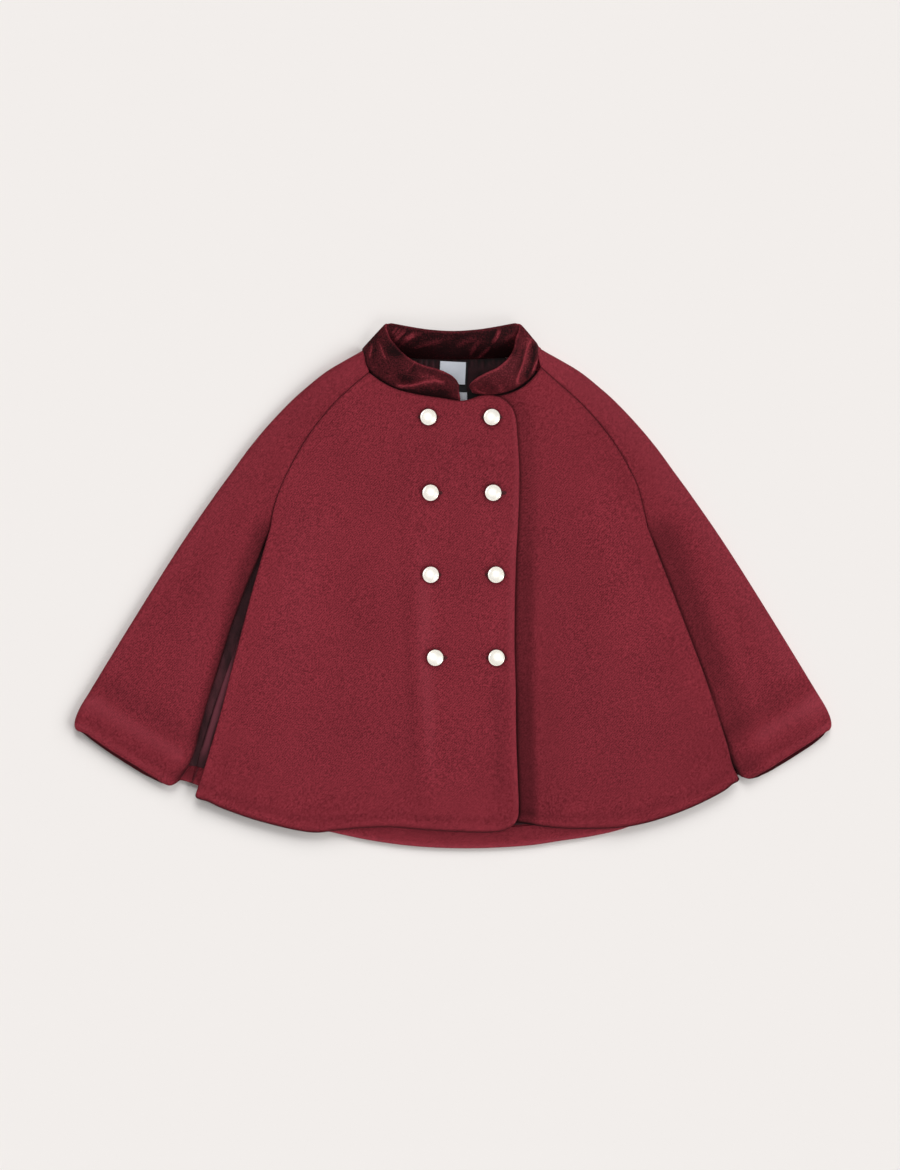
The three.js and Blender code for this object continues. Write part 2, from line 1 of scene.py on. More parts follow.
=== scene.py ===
import math
import bpy
import numpy as np
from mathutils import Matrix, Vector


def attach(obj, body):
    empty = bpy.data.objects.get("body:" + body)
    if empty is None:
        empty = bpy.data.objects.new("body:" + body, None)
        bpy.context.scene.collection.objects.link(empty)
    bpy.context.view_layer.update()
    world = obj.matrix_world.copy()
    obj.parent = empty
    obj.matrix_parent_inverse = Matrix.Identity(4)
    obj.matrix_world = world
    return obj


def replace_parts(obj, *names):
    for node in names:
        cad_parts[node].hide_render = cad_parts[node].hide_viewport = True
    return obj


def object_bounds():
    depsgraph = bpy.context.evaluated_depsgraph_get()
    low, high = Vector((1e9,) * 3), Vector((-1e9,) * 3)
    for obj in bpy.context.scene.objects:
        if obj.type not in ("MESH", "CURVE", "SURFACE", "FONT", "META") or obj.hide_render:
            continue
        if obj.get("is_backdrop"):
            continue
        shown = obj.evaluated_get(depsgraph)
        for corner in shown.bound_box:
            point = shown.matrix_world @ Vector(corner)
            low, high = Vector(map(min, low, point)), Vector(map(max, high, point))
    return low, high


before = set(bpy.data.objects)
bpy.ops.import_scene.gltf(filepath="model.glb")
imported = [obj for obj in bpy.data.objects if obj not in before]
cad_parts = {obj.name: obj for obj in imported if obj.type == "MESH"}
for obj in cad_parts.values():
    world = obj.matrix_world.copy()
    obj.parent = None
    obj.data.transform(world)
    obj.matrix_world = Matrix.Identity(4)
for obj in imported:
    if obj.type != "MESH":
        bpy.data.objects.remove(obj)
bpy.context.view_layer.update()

print("frame loaded, box of the solids kept")

# Lengths are in millimetres until a mesh is made. +Y points to the neck and +X to the wearer's left.
cloth = {
    "wool": 2.4,  # thickness of the melton
    "lining": 1.0,
    "hemTop": 9.2,  # upper face of the fronts at the hem
    "chestTop": 10.0,
    "neckTop": 14.0,
    "seamGap": 0.03,  # each side of a raglan seam
}


def ramp(x, low, high):
    t = np.clip((x - low) / (high - low), 0, 1)
    return t * t * (3 - 2 * t)


def hump(x, at, wide):
    return np.exp(-(((x - at) / wide) ** 2))


def evenly(line, count):
    run = np.concatenate([[0], np.cumsum(np.linalg.norm(np.diff(line, axis=0), axis=1))])
    at = np.linspace(0, run[-1], count)
    return np.stack([np.interp(at, run, line[:, k]) for k in range(line.shape[1])], axis=1)


def smoothDense(points, steps=24):
    # a centripetal curve through the points, with the same number of steps between each two
    p = np.array(points, float)
    p = np.vstack([2 * p[0] - p[1], p, 2 * p[-1] - p[-2]])
    t = np.concatenate([[0], np.cumsum(np.linalg.norm(np.diff(p, axis=0), axis=1) ** 0.5)])
    parts = []
    for k in range(1, len(p) - 2):
        last = k == len(p) - 3
        s = np.linspace(t[k], t[k + 1], steps + last, endpoint=last)[:, None]

        def between(a, b, ta, tb):
            return ((tb - s) * a + (s - ta) * b) / (tb - ta)

        a1 = between(p[k - 1], p[k], t[k - 1], t[k])
        a2 = between(p[k], p[k + 1], t[k], t[k + 1])
        a3 = between(p[k + 1], p[k + 2], t[k + 1], t[k + 2])
        b1 = between(a1, a2, t[k - 1], t[k + 1])
        b2 = between(a2, a3, t[k], t[k + 2])
        parts.append(between(b1, b2, t[k], t[k + 1]))
    return np.vstack(parts)


def smoothLine(points, count=600):
    return evenly(smoothDense(points), count)


def along(line, t):
    steps = np.linspace(0, 1, len(line))
    return np.stack([np.interp(t, steps, line[:, k]) for k in range(line.shape[1])], axis=-1)


# distances of the first grid lines from an edge, for a small piece and for a panel with turned edges
rimSteps = np.array([0, 0.18, 0.5, 1.0, 1.8, 3.2])
turnSteps = np.array([0, 0.18, 0.5, 1.0, 1.8, 3.0, 4.4, 6.0, 8.0, 10.2, 12.8, 16.0, 20.0])


def spacing(length, count, steps=rimSteps):
    inner = np.linspace(steps[-1], length - steps[-1], count)[1:-1]
    return np.concatenate([steps, inner, length - steps[::-1]]) / length


def patch(top, bottom, left, right, rows, cols, steps=rimSteps):
    # fills a four-sided panel; top and bottom run one way, left and right run down
    v0 = spacing(np.linalg.norm(left[-1] - left[0]), rows, steps)
    widths = np.linalg.norm(along(right, v0) - along(left, v0), axis=1)
    u = np.array([spacing(w, cols, steps) for w in widths])
    u0 = spacing(widths.mean(), cols, steps)
    heights = np.linalg.norm(along(bottom, u0) - along(top, u0), axis=1)
    v = np.array([spacing(h, rows, steps) for h in heights]).T
    a, b = u[..., None], v[..., None]
    across = (1 - a) * along(left, v) + a * along(right, v)
    down = (1 - b) * along(top, u) + b * along(bottom, u)
    upper = (1 - a) * top[0] + a * top[-1]
    lower = (1 - a) * bottom[0] + a * bottom[-1]
    return across + down - (1 - b) * upper - b * lower


def awayFrom(centre, side):
    # how far each grid point lies from one side of its panel, measured in the cloth
    axis = 0 if side in ("top", "bottom") else 1
    step = np.linalg.norm(np.diff(centre, axis=axis), axis=2)
    first = np.zeros_like(np.take(step, [0], axis=axis))
    run = np.cumsum(np.concatenate([first, step], axis=axis), axis=axis)
    return run if side in ("top", "left") else np.take(run, [-1], axis=axis) - run


def awayFromEdges(centre):
    return np.minimum.reduce([awayFrom(centre, side) for side in ("top", "bottom", "left", "right")])


def roundedHalf(centre, thick, roll=0.0):
    # half the thickness of the cloth, rounded to nothing at its edges, with the bulk of a turned edge
    away = awayFromEdges(centre)
    radius = thick / 2
    t = np.clip(away / radius, 0, 1)
    return (radius + roll * ramp(away, 0, 1.5) * (1 - ramp(away, 3, 8))) * np.sqrt(1 - (1 - t) ** 2)


def normalsOf(centre):
    n = np.cross(np.gradient(centre, axis=0), np.gradient(centre, axis=1))
    return n / np.maximum(np.linalg.norm(n, axis=2, keepdims=True), 1e-9)


def addPiece(name, points, faces, material, values=None):
    # a mesh from millimetres, riding on the one body; values are numbers that its material reads
    mesh = bpy.data.meshes.new(name)
    mesh.from_pydata((np.asarray(points) * 0.001).tolist(), [], faces)
    mesh.shade_smooth()
    for key, amount in (values or {}).items():
        mesh.attributes.new(key, "FLOAT", "POINT").data.foreach_set("value", np.asarray(amount, np.float32))
    obj = bpy.data.objects.new(name, mesh)
    bpy.context.scene.collection.objects.link(obj)
    mesh.materials.append(material)
    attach(obj, "root")
    return obj


def shell(name, centre, half, material, slotName, **values):
    # a closed wall round a middle surface, whose upper and lower faces meet at its rim
    rows, cols = half.shape
    n = normalsOf(centre)
    upper = centre + n * half[..., None]
    lower = centre - n * half[..., None]
    top = np.arange(rows * cols).reshape(rows, cols)
    low = top.copy()
    low[1:-1, 1:-1] = rows * cols + np.arange((rows - 2) * (cols - 2)).reshape(rows - 2, cols - 2)
    points = np.vstack([upper.reshape(-1, 3), lower[1:-1, 1:-1].reshape(-1, 3)])
    up = np.stack([top[:-1, :-1], top[1:, :-1], top[1:, 1:], top[:-1, 1:]], axis=-1).reshape(-1, 4)
    down = np.stack([low[:-1, :-1], low[:-1, 1:], low[1:, 1:], low[1:, :-1]], axis=-1).reshape(-1, 4)
    painted = {key: np.concatenate([v.ravel(), v[1:-1, 1:-1].ravel()]) for key, v in values.items()}
    return addPiece(name, points, np.vstack([up, down]).tolist(), material, painted)


def fromPath(x, y, path):
    # distance of each point from a path, and how far along the path it is, from 0 to 1
    best, place = np.full(x.shape, 1e9), np.zeros(x.shape)
    p = np.array(path, float)
    run = np.concatenate([[0], np.cumsum(np.linalg.norm(np.diff(p, axis=0), axis=1))])
    for k in range(len(p) - 1):
        d = p[k + 1] - p[k]
        t = np.clip(((x - p[k][0]) * d[0] + (y - p[k][1]) * d[1]) / (d @ d), 0, 1)
        far = np.hypot(x - p[k][0] - t * d[0], y - p[k][1] - t * d[1])
        nearer = far < best
        best = np.where(nearer, far, best)
        place = np.where(nearer, (run[k] + t * (run[k + 1] - run[k])) / run[-1], place)
    return best, place


def fold(width, height, shade, path, fade=0.3):
    # a soft ridge along a path, or a trough where its height is negative, that fades at its ends; its shade
    # is painted light where above zero and painted shade where below
    return {"width": width, "height": height, "shade": shade, "path": path, "fade": fade}


def creased(x, y, folds, key="height"):
    total = np.zeros(np.shape(x))
    for f in folds:
        far, place = fromPath(x, y, f["path"])
        fade = ramp(place, 0, f["fade"]) * (1 - ramp(place, 1 - f["fade"], 1))
        total = total + f[key] * np.exp(-((far / f["width"]) ** 2)) * fade
    return total


def uneven(x, y, height, length, seed):
    # the faint waves of cloth that has been smoothed by hand
    dice = np.random.default_rng(seed)
    total = np.zeros(np.shape(x))
    for k in range(10):
        turn, wave = dice.uniform(0, math.tau), length * dice.uniform(0.6, 1.8)
        run = (x * math.cos(turn) + y * math.sin(turn)) * math.tau / wave
        total = total + np.sin(run + dice.uniform(0, math.tau))
    return total * height / 3


class Wire:
    # a node's output, so that sums and products of masks read as plain maths
    def __init__(self, tree, socket):
        self.tree, self.socket = tree, socket

    def node(self, kind, settings=None, inputs=None, output=0):
        made = self.tree.nodes.new(kind)
        for key, value in (settings or {}).items():
            if key == "stops":
                ramps = made.color_ramp.elements
                while len(ramps) < len(value):
                    ramps.new(0.5)
                for stop, (place, shade) in zip(ramps, value):
                    stop.position, stop.color = place, shade
            else:
                setattr(made, key, value)
        for key, value in (inputs or {}).items():
            if isinstance(value, Wire):
                self.tree.links.new(value.socket, made.inputs[key])
            else:
                made.inputs[key].default_value = value
        return Wire(self.tree, made.outputs[output])

    def maths(self, operation, a, b=0.0):
        return self.node("ShaderNodeMath", {"operation": operation}, {0: a, 1: b})

    def __add__(self, other):
        return self.maths("ADD", self, other)

    def __sub__(self, other):
        return self.maths("SUBTRACT", self, other)

    def __rsub__(self, other):
        return self.maths("SUBTRACT", other, self)

    def __mul__(self, other):
        return self.maths("MULTIPLY", self, other)

    __radd__ = __add__
    __rmul__ = __mul__

    def between(self, low, high):
        # 0 below low, 1 above high
        smooth = {"interpolation_type": "SMOOTHSTEP"}
        return self.node("ShaderNodeMapRange", smooth, {0: self, 1: low, 2: high})

    def above(self, low):
        return self.maths("MAXIMUM", self, low)

    def mix(self, a, b):
        # this value picks between two colours
        return self.node("ShaderNodeMix", {"data_type": "RGBA"}, {0: self, 6: a, 7: b}, output=2)


def newMaterial(name, **constants):
    # a Principled material, its shader node, and the object coordinates in metres
    material = bpy.data.materials.new(name)
    material.use_nodes = True
    tree = material.node_tree
    tree.nodes.clear()
    shader = tree.nodes.new("ShaderNodeBsdfPrincipled")
    out = tree.nodes.new("ShaderNodeOutputMaterial")
    tree.links.new(shader.outputs[0], out.inputs[0])
    for socket, value in constants.items():
        shader.inputs[socket].default_value = value
    coords = tree.nodes.new("ShaderNodeTexCoord")
    return material, shader, Wire(tree, coords.outputs["Object"])


def feed(wire, shader, socket):
    wire.tree.links.new(wire.socket, shader.inputs[socket])


def attributeOf(wire, name):
    return wire.node("ShaderNodeAttribute", {"attribute_name": name}, output=2)


def mapped(wire, turn=0.0, scale=(1.0, 1.0, 1.0)):
    return wire.node("ShaderNodeMapping", {}, {0: wire, 2: (0, 0, turn), 3: scale})


def noise(wire, scale, detail=2.0, rough=0.5):
    inputs = {"Vector": wire, "Scale": scale, "Detail": detail, "Roughness": rough}
    return wire.node("ShaderNodeTexNoise", {}, inputs)


def bump(wire, shader, strength, distance):
    made = wire.node("ShaderNodeBump", {}, {"Strength": strength, "Distance": distance, "Height": wire})
    feed(made, shader, "Normal")


woolLook = {
    "deep": (0.090, 0.0074, 0.0122, 1),  # colour between the twill lines
    "high": (0.300, 0.0325, 0.0485, 1),  # colour on the twill lines
    "paintedShade": (0.012, 0.0012, 0.0018, 1),  # painted shade, deep in a seam or under an edge
    "light": (0.420, 0.0680, 0.0950, 1),  # painted highlight, on the crown of a turned edge
    "twillTurn": math.radians(-46),
    "twillPitch": 0.0019,  # metres between two lines
    "sheen": 0.06,
}


def makeWool(name, tone=1.0):
    look = woolLook
    keys = {"Sheen Weight": look["sheen"], "Sheen Roughness": 0.45, "Sheen Tint": (0.95, 0.45, 0.50, 1)}
    material, shader, here = newMaterial(name, **keys, **{"Specular IOR Level": 0.10})
    turned = mapped(here, look["twillTurn"])
    strokes = noise(mapped(turned, 0, (0.62, 1, 1)), 900, 1.5, 0.6)  # short strokes along the twill
    wave = here.node(
        "ShaderNodeTexWave",
        {"bands_direction": "Y"},
        {"Vector": turned, "Scale": 0.314 / look["twillPitch"], "Distortion": 3.0, "Detail": 2.0,
         "Detail Scale": 2.0},
        output=1,
    )
    cloudy = noise(here, 16, 3, 0.55)
    fuzz = noise(here, 820, 2, 0.7)
    weave = (strokes * 0.55 + wave * 0.10 + fuzz * 0.50 - 0.075).between(0.335, 0.665)
    deep = tuple(c * tone for c in look["deep"][:3]) + (1,)
    high = tuple(c * tone for c in look["high"][:3]) + (1,)
    colour = (weave * 0.85 + (cloudy - 0.5) * 0.26 + 0.075).mix(deep, high)
    # the tone attribute paints light into the colour: a painted highlight where it is above zero, painted
    # shade where below
    shade = attributeOf(here, "tone")
    colour = shade.above(0.0).mix(colour, look["light"])
    feed((shade * -1.0).above(0.0).mix(colour, look["paintedShade"]), shader, "Base Color")
    feed(0.86 + weave * 0.1, shader, "Roughness")
    bump(strokes * 0.6 + wave * 0.25 + fuzz * 0.35, shader, 0.55, 0.0005)
    return material


wool = makeWool("woolMelton")
woolSleeve = makeWool("woolMeltonSleeve", 0.94)
woolInside = makeWool("woolMeltonFacing", 0.97)
print("wool ready")

velvetLook = {
    "deep": (0.0090, 0.0012, 0.0017, 1),  # pile seen end on, where the pile noise runs low, and painted shade in troughs, behind the neck and at the seam
    "base": (0.0660, 0.0072, 0.0106, 1),
    "light": (0.2700, 0.0330, 0.0460, 1),  # painted sheen on ridges and edges, and pile laid over where the pile noise runs high
}


def makeVelvet():
    look = velvetLook
    keys = {"Sheen Weight": 0.10, "Sheen Roughness": 0.3, "Sheen Tint": (0.9, 0.12, 0.16, 1)}
    material, shader, here = newMaterial("velvetPile", **keys, **{"Specular IOR Level": 0.08})
    pile = noise(here, 800, 2, 0.75)
    brushed = noise(mapped(here, 0.6, (1, 0.42, 1)), 105, 5, 0.62)  # where the pile has been stroked
    # the collar's painted sheen and shade, with the pile's random flecks and brushed patches added
    nap = attributeOf(here, "nap") + (brushed - 0.5) * 0.68 + (pile - 0.5) * 2.3
    colour = nap.between(-0.25, 0.42).mix(look["deep"], look["base"])
    feed(nap.between(0.35, 1.25).mix(colour, look["light"]), shader, "Base Color")
    feed(0.6 + pile * 0.2, shader, "Roughness")
    bump(pile * 0.4 + brushed * 1.2, shader, 0.35, 0.0006)
    return material


velvet = makeVelvet()


def makeSatin():
    material, shader, here = newMaterial("liningSatin", **{"Specular IOR Level": 0.12})
    threads = here.node(
        "ShaderNodeTexWave", {"bands_direction": "X"},
        {"Vector": mapped(here, 0.3), "Scale": 900, "Distortion": 1.0, "Detail": 1.0}, output=1)
    crumple = noise(mapped(here, 0.1, (1, 0.4, 1)), 75, 4, 0.55)
    # the tone attribute paints light into the satin: painted shade towards near black below zero, a painted
    # sheen above zero
    shade = attributeOf(here, "tone")
    colour = crumple.between(0.3, 0.72).mix((0.021, 0.0042, 0.0062, 1), (0.070, 0.0150, 0.0215, 1))
    colour = (shade * -1.0).above(0.0).mix(colour, (0.003, 0.0005, 0.0007, 1))
    feed(shade.above(0.0).mix(colour, (0.205, 0.0440, 0.0640, 1)), shader, "Base Color")
    feed(0.42 + threads * 0.1, shader, "Roughness")
    bump(crumple * 1.6 + threads * 0.05, shader, 0.5, 0.0014)
    return material


satin = makeSatin()


def makeRibbon(name, low, high, rough=0.55):
    material, shader, here = newMaterial(name, **{"Specular IOR Level": 0.35})
    warp = here.node(
        "ShaderNodeTexWave", {"bands_direction": "X"},
        {"Vector": mapped(here, 0.05), "Scale": 560, "Distortion": 0.6, "Detail": 1.0}, output=1)
    weft = here.node(
        "ShaderNodeTexWave", {"bands_direction": "Y"},
        {"Vector": mapped(here, 0.05), "Scale": 620, "Distortion": 0.6, "Detail": 1.0}, output=1)
    soft = noise(here, 120, 2, 0.5)
    feed((warp * 0.35 + weft * 0.35 + soft * 0.4).mix(low, high), shader, "Base Color")
    feed(rough + soft * 0.15, shader, "Roughness")
    bump(warp * 0.5 + weft * 0.5, shader, 0.3, 0.0002)
    return material


ribbonWhite = makeRibbon("labelWhite", (0.54, 0.58, 0.65, 1), (0.75, 0.78, 0.84, 1))
# the white ribbon made darker, as painted shade, for the size label that lies deeper in the neck
ribbonWhiteInShade = makeRibbon("labelWhiteInShade", (0.42, 0.44, 0.48, 1), (0.66, 0.68, 0.72, 1))
ribbonBlack = makeRibbon("labelBlack", (0.002, 0.0015, 0.002, 1), (0.007, 0.005, 0.006, 1), 0.7)


def makeMetal():
    material, shader, here = newMaterial("buttonMetal", Metallic=1.0)
    brushed = noise(here, 260, 3, 0.5)
    scuffs = noise(here, 900, 2, 0.6)
    feed(brushed.between(0.3, 0.7).mix((0.95, 0.90, 0.80, 1), (0.98, 0.95, 0.88, 1)), shader, "Base Color")
    feed(0.24 + scuffs * 0.14, shader, "Roughness")
    bump(scuffs, shader, 0.12, 0.0001)
    return material


metal = makeMetal()


def makeThread(name, low, high):
    material, shader, here = newMaterial(name, **{"Specular IOR Level": 0.3, "Sheen Weight": 0.1})
    twist = noise(here, 1400, 2, 0.6)
    feed(twist.mix(low, high), shader, "Base Color")
    feed(0.7 + twist * 0.2, shader, "Roughness")
    bump(twist, shader, 0.4, 0.0003)
    return material


thread = makeThread("buttonholeThread", (0.045, 0.0040, 0.0060, 1), (0.120, 0.0120, 0.0180, 1))
# near black, painted shade for the cut inside each buttonhole
slitDark = makeThread("buttonholeSlit", (0.004, 0.0004, 0.0006, 1), (0.012, 0.0012, 0.0018, 1))
print("velvet, satin, ribbon, metal and thread ready")

# half-widths of the raglan seams and of the free edges of the arm slits below them, by level
levels = {
    "y": [200, 180, 155, 130, 100, 75, 58, 30, 0, -40, -80, -120, -160, -180],
    "rightFront": [100.5, 121.3, 141.5, 157, 172, 180, 182.7, 191, 199.6, 210, 220.5, 230.5, 242, 248],
    "rightSide": [100.5, 121.3, 141.5, 157, 172, 180, 182.7, 193, 206, 221, 233.5, 246.5, 257, 264.5],
    "leftFront": [108.5, 130.5, 152.5, 169.5, 184.5, 191, 194.6, 205.7, 217.5, 232.8, 248, 262, 274.6, 279.8],
    "leftSide": [108.5, 130.5, 152.5, 169.5, 184.5, 191, 194.6, 198, 207, 221, 236, 251, 266, 279],
    "back": [103.5, 122.5, 141.5, 157, 171, 179, 183, 190.5, 199, 211, 224.5, 239.5, 252, 257.5],
}
seamTop = {
    "rightFront": (84, 213.3), "rightSide": (84, 213.3), "leftFront": (87.5, 218.5),
    "leftSide": (87.5, 218.5), "back": (64, 228.2),
}
slitEnd = {
    "rightFront": (257.6, -208.8), "rightSide": (274.2, -194.6), "leftFront": (286.4, -193),
    "leftSide": (288.6, -189), "back": (262, -197.4),
}
slitRow = 6  # the level at which the seams end and the slits begin

outerFold = [
    (87.2, 237.2), (107.5, 226), (127.5, 214), (147.5, 198), (161, 186), (184, 162), (204, 138),
    (221.5, 114), (239, 90), (272, 42), (317.5, -30), (361.5, -102), (374.6, -124), (378.2, -134),
    (378.3, -138.6), (376.8, -142.2),
]
rightNeck = [
    (-84, 213.3), (-69.5, 203), (-54, 196), (-34.4, 191.3), (-12, 188), (8, 185.2), (16, 186.4),
    (27, 190), (36, 190.8), (47, 188.5), (54, 183.8), (58.6, 178.5),
]
rightEdge = [
    (58.6, 178.5), (62.6, 168), (64.2, 151), (66.4, 114), (65.3, 68), (63, 26), (61.5, -54),
    (62.7, -102), (63.2, -151), (65, -199), (65.7, -221), (64.8, -231), (61.4, -238),
]
rightHem = [
    (-257.6, -208.8), (-256.9, -211.6), (-253.4, -213.4), (-247, -215), (-241, -217.7), (-234, -221.2),
    (-198, -234), (-153, -245), (-136, -246.7), (-118, -244.8), (-95, -242.4), (-64, -241.4), (-29, -244),
    (29, -246.6), (46, -245.6), (55, -242.6), (61.4, -238),
]
leftNeck = [
    (-26, 166.5), (-14, 174), (0, 178.6), (14, 182.5), (26, 188.2), (38.5, 190.2), (50, 191),
    (62.4, 195), (73.6, 201.8), (82.4, 210.6), (87.5, 218.5),
]
leftEdge = [
    (-26, 166.5), (-34, 155), (-39, 130), (-41, 90), (-41, 51), (-37, -20), (-32, -100),
    (-27, -180), (-24.5, -215), (-20, -228),
]
leftHem = [
    (-20, -228), (-8, -233.5), (30, -236), (66, -237.5), (97, -241.5), (121, -243), (145, -242.8),
    (169, -241.6), (193.6, -237), (218, -229.5), (242, -220), (266, -208), (274, -203), (280, -198),
    (285, -195.4), (286.4, -193),
]
rightSideHem = [
    (274.2, -194.6), (277.6, -197.6), (283, -199.8), (290, -197.6), (297, -192.6), (304, -188.5),
    (318, -179.6), (332, -171), (346, -162.2), (361, -151.7), (367, -147.6),
]
leftSideHem = [
    (288.6, -189), (290.6, -191), (294, -192.6), (297.4, -193), (302, -191.2), (307, -188), (318, -182),
    (327, -176), (337, -169.6), (349.5, -161.6), (362, -153.5), (369, -148.6),
]
backHem = [
    (-262, -197.4), (-235, -208), (-203, -222), (-153, -238.5), (-118, -247.4), (-87, -254),
    (-53, -259.2), (-20, -262), (13, -262.8), (46, -262), (79, -259.6), (107, -255.4),
    (140, -250.4), (169, -243.6), (203, -230), (235, -214), (262, -197.4),
]
backSideHem = {
    -1: [
        (262, -197.4), (273, -194.6), (283, -197.4), (290, -198), (297, -195), (304, -191.6), (311, -188),
        (318, -183.8), (332, -175), (346, -165.8), (361, -155), (370, -147.8),
    ],
    1: [
        (262, -197.4), (272, -194.4), (280, -190.6), (288, -188.6), (294, -190.6), (301, -193), (308, -190.2),
        (318, -185.4), (327, -180), (337, -174), (349.5, -166), (362, -157.6), (371, -149.8),
    ],
}
backNeck = [(-64, 228.2), (-30, 226.4), (0, 225.8), (30, 226.4), (64, 228.2)]


def sideLine(column, side, inset=0.0):
    rows = [(side * (x - inset), y) for x, y in zip(levels[column], levels["y"])]
    top, end = seamTop[column], slitEnd[column]
    seam = smoothDense([(side * (top[0] - inset), top[1])] + rows[: slitRow + 1])
    slit = smoothDense(rows[slitRow:] + [(side * (end[0] - inset), end[1])])
    return evenly(np.vstack([seam, slit[1:]]), 900)


fronts = {
    "lapRise": 1.5,  # the right front rises over the hidden edge of the left one
    "sinkHigh": 1.3,  # the left front sinks beside the edge of the right one
    "sinkLow": 2.4,
    "lift": 1.6,  # the right front's edge stands up a little near the hem
    "waves": 0.22,
}
turnedEdge = {
    "rise": 0.40, "riseAt": 4.0, "riseWide": 3.4,  # the bulk of the turned cloth
    "dip": 0.35, "dipAt": 13.0, "dipWide": 4.6,  # where the turning is caught down
    # painted light of a turned edge: a highlight on its crown, shade in the dip and under its roll
    "light": 0.09, "paintedShade": 0.12, "shade": 0.80,
}


def loft(y):
    body = cloth["hemTop"] + (cloth["chestTop"] - cloth["hemTop"]) * ramp(y, -247, -180)
    return body + (cloth["neckTop"] - body) * ramp(y, 130, 204)


def turnedRelief(away):
    e = turnedEdge
    rise = e["rise"] * hump(away, e["riseAt"], e["riseWide"])
    return rise - e["dip"] * hump(away, e["dipAt"], e["dipWide"])


def turnedTone(away, shade=turnedEdge["shade"]):
    e = turnedEdge
    # a painted highlight on the crown and painted shade in the dip and under the roll
    lit = e["light"] * hump(away, 5.8, 3.2) - e["paintedShade"] * hump(away, e["dipAt"], e["dipWide"])
    return lit - shade * hump(away, 0, 2.5)


# the third number of each fold is painted light or shade along it
rightCreases = [
    fold(8, 0.45, 0.14, [(-30, 70), (-29, 0), (-27, -90), (-22, -170), (-18, -236)]),
    fold(6, -0.3, -0.08, [(-47, 40), (-46, -60), (-42, -150), (-37, -232)]),
    fold(7, -0.5, -0.16, [(45, -70), (45, -130), (47, -190), (48, -232)]),
    fold(26, 0.5, 0.04, [(-140, 120), (-150, 40), (-165, -60), (-175, -150)]),
    fold(30, -0.4, -0.04, [(-90, 60), (-95, -60), (-110, -180)]),
    fold(16, -0.3, -0.04, [(0, 150), (10, 60), (12, -40), (8, -160)]),
]
leftCreases = [
    fold(4.5, 0.9, 0.03, [(84, 60), (84.5, -60), (84.5, -150), (83, -238)], 0.25),
    fold(30, 0.5, 0.05, [(150, 130), (165, 20), (185, -100)]),
    fold(26, -0.4, -0.04, [(120, 60), (130, -80), (150, -200)]),
    fold(12, 0.5, 0.06, [(205, 20), (232, -60), (258, -140)]),
]


def rightFrontTop(x, y):
    edge = -41 + np.maximum(0, 51 - y) * 0.064
    over = fronts["lapRise"] * ramp(x, edge - 18, edge - 1)
    lifted = fronts["lift"] * ramp(x, 30, 64) * (1 - ramp(y, -180, 0))
    return loft(y) + over + lifted


def leftFrontTop(x, y):
    depth = fronts["sinkHigh"] + (fronts["sinkLow"] - fronts["sinkHigh"]) * (1 - ramp(y, -20, 120))
    return loft(y) - depth * (1 - ramp(x, 66, 83))


def flatCentre(grid, topAt, thick, creases=()):
    x, y = grid[..., 0], grid[..., 1]
    z = topAt(x, y) + creased(x, y, creases) - thick / 2
    return np.stack([x, y, z], axis=-1)


def seamTone(grid, side):
    # painted shade makes a seam a fine dark line in its groove; below it the arm slit is open
    return -0.30 * hump(awayFrom(grid, side), 0, 1.4) * ramp(grid[..., 1], 45, 75)


thick = cloth["wool"]
gap = cloth["seamGap"]
# the two columns of buttons: where each stands, how it leans, and where the middle of its buttonhole lies
buttonRows = [
    {"y": 168.6, "inner": -24.6, "innerLean": 0.02, "innerHole": -24.6,
     "outer": 38.7, "outerLean": 0.03, "outerHole": 38.7},
    {"y": 93.1, "inner": -22.4, "innerLean": -0.03, "innerHole": -21.0,
     "outer": 40.1, "outerLean": 0.02, "outerHole": 43.0},
    {"y": 11.2, "inner": -22.3, "innerLean": 0.02, "innerHole": -22.3,
     "outer": 43, "outerLean": -0.02, "outerHole": 42.4},
    {"y": -71.7, "inner": -18, "innerLean": 0.1, "innerHole": -16.2,
     "outer": 43.6, "outerLean": -0.08, "outerHole": 43.4},
]
buttonPlaces = [(row[column], row["y"]) for row in buttonRows for column in ("inner", "outer")]

rightSeam, leftSeam = sideLine("rightFront", -1, gap), sideLine("leftFront", 1, gap)
neckLine, hemLine = smoothLine(rightNeck), smoothLine(rightHem)
grid = patch(neckLine, hemLine, rightSeam, smoothLine(rightEdge), 130, 120, turnSteps)
x, y = grid[..., 0], grid[..., 1]
freeSide = awayFrom(grid, "left") + 90 * ramp(y, 40, 70)
turning = np.minimum(awayFrom(grid, "bottom"), freeSide)
edgeLine = awayFrom(grid, "right")
centre = flatCentre(grid, rightFrontTop, thick, rightCreases)
centre[..., 2] += turnedRelief(np.minimum(turning, edgeLine)) + uneven(x, y, fronts["waves"], 55, 11)
# painted light and shade: a highlight on the hem's crown and on the front edge's crown, shade at the slit
# edge, in the seam and under the collar
tone = turnedTone(awayFrom(grid, "bottom")) - 0.6 * hump(freeSide, 0, 1.4) + 0.13 * hump(edgeLine, 3.5, 3.6)
tone += creased(x, y, rightCreases, "shade") + seamTone(grid, "left")
tone -= 0.2 * hump(awayFrom(grid, "top"), 0, 2)
# darker towards the hem and towards the neck
tone -= 0.045 * ramp(-y, 90, 170) + 0.04 * ramp(y, 60, 120)
for buttonX, buttonY in buttonPlaces:
    ring = np.hypot(x - buttonX, y - buttonY)
    # painted shadow in a ring round each button
    tone -= 0.50 * hump(ring, 7.8, 2.2)
    centre[..., 2] -= 0.35 * hump(ring, 0, 9)
frontRight = shell("frontRight", centre, roundedHalf(centre, thick, 0.35), wool, "wool", tone=tone)
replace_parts(frontRight, "front_right")

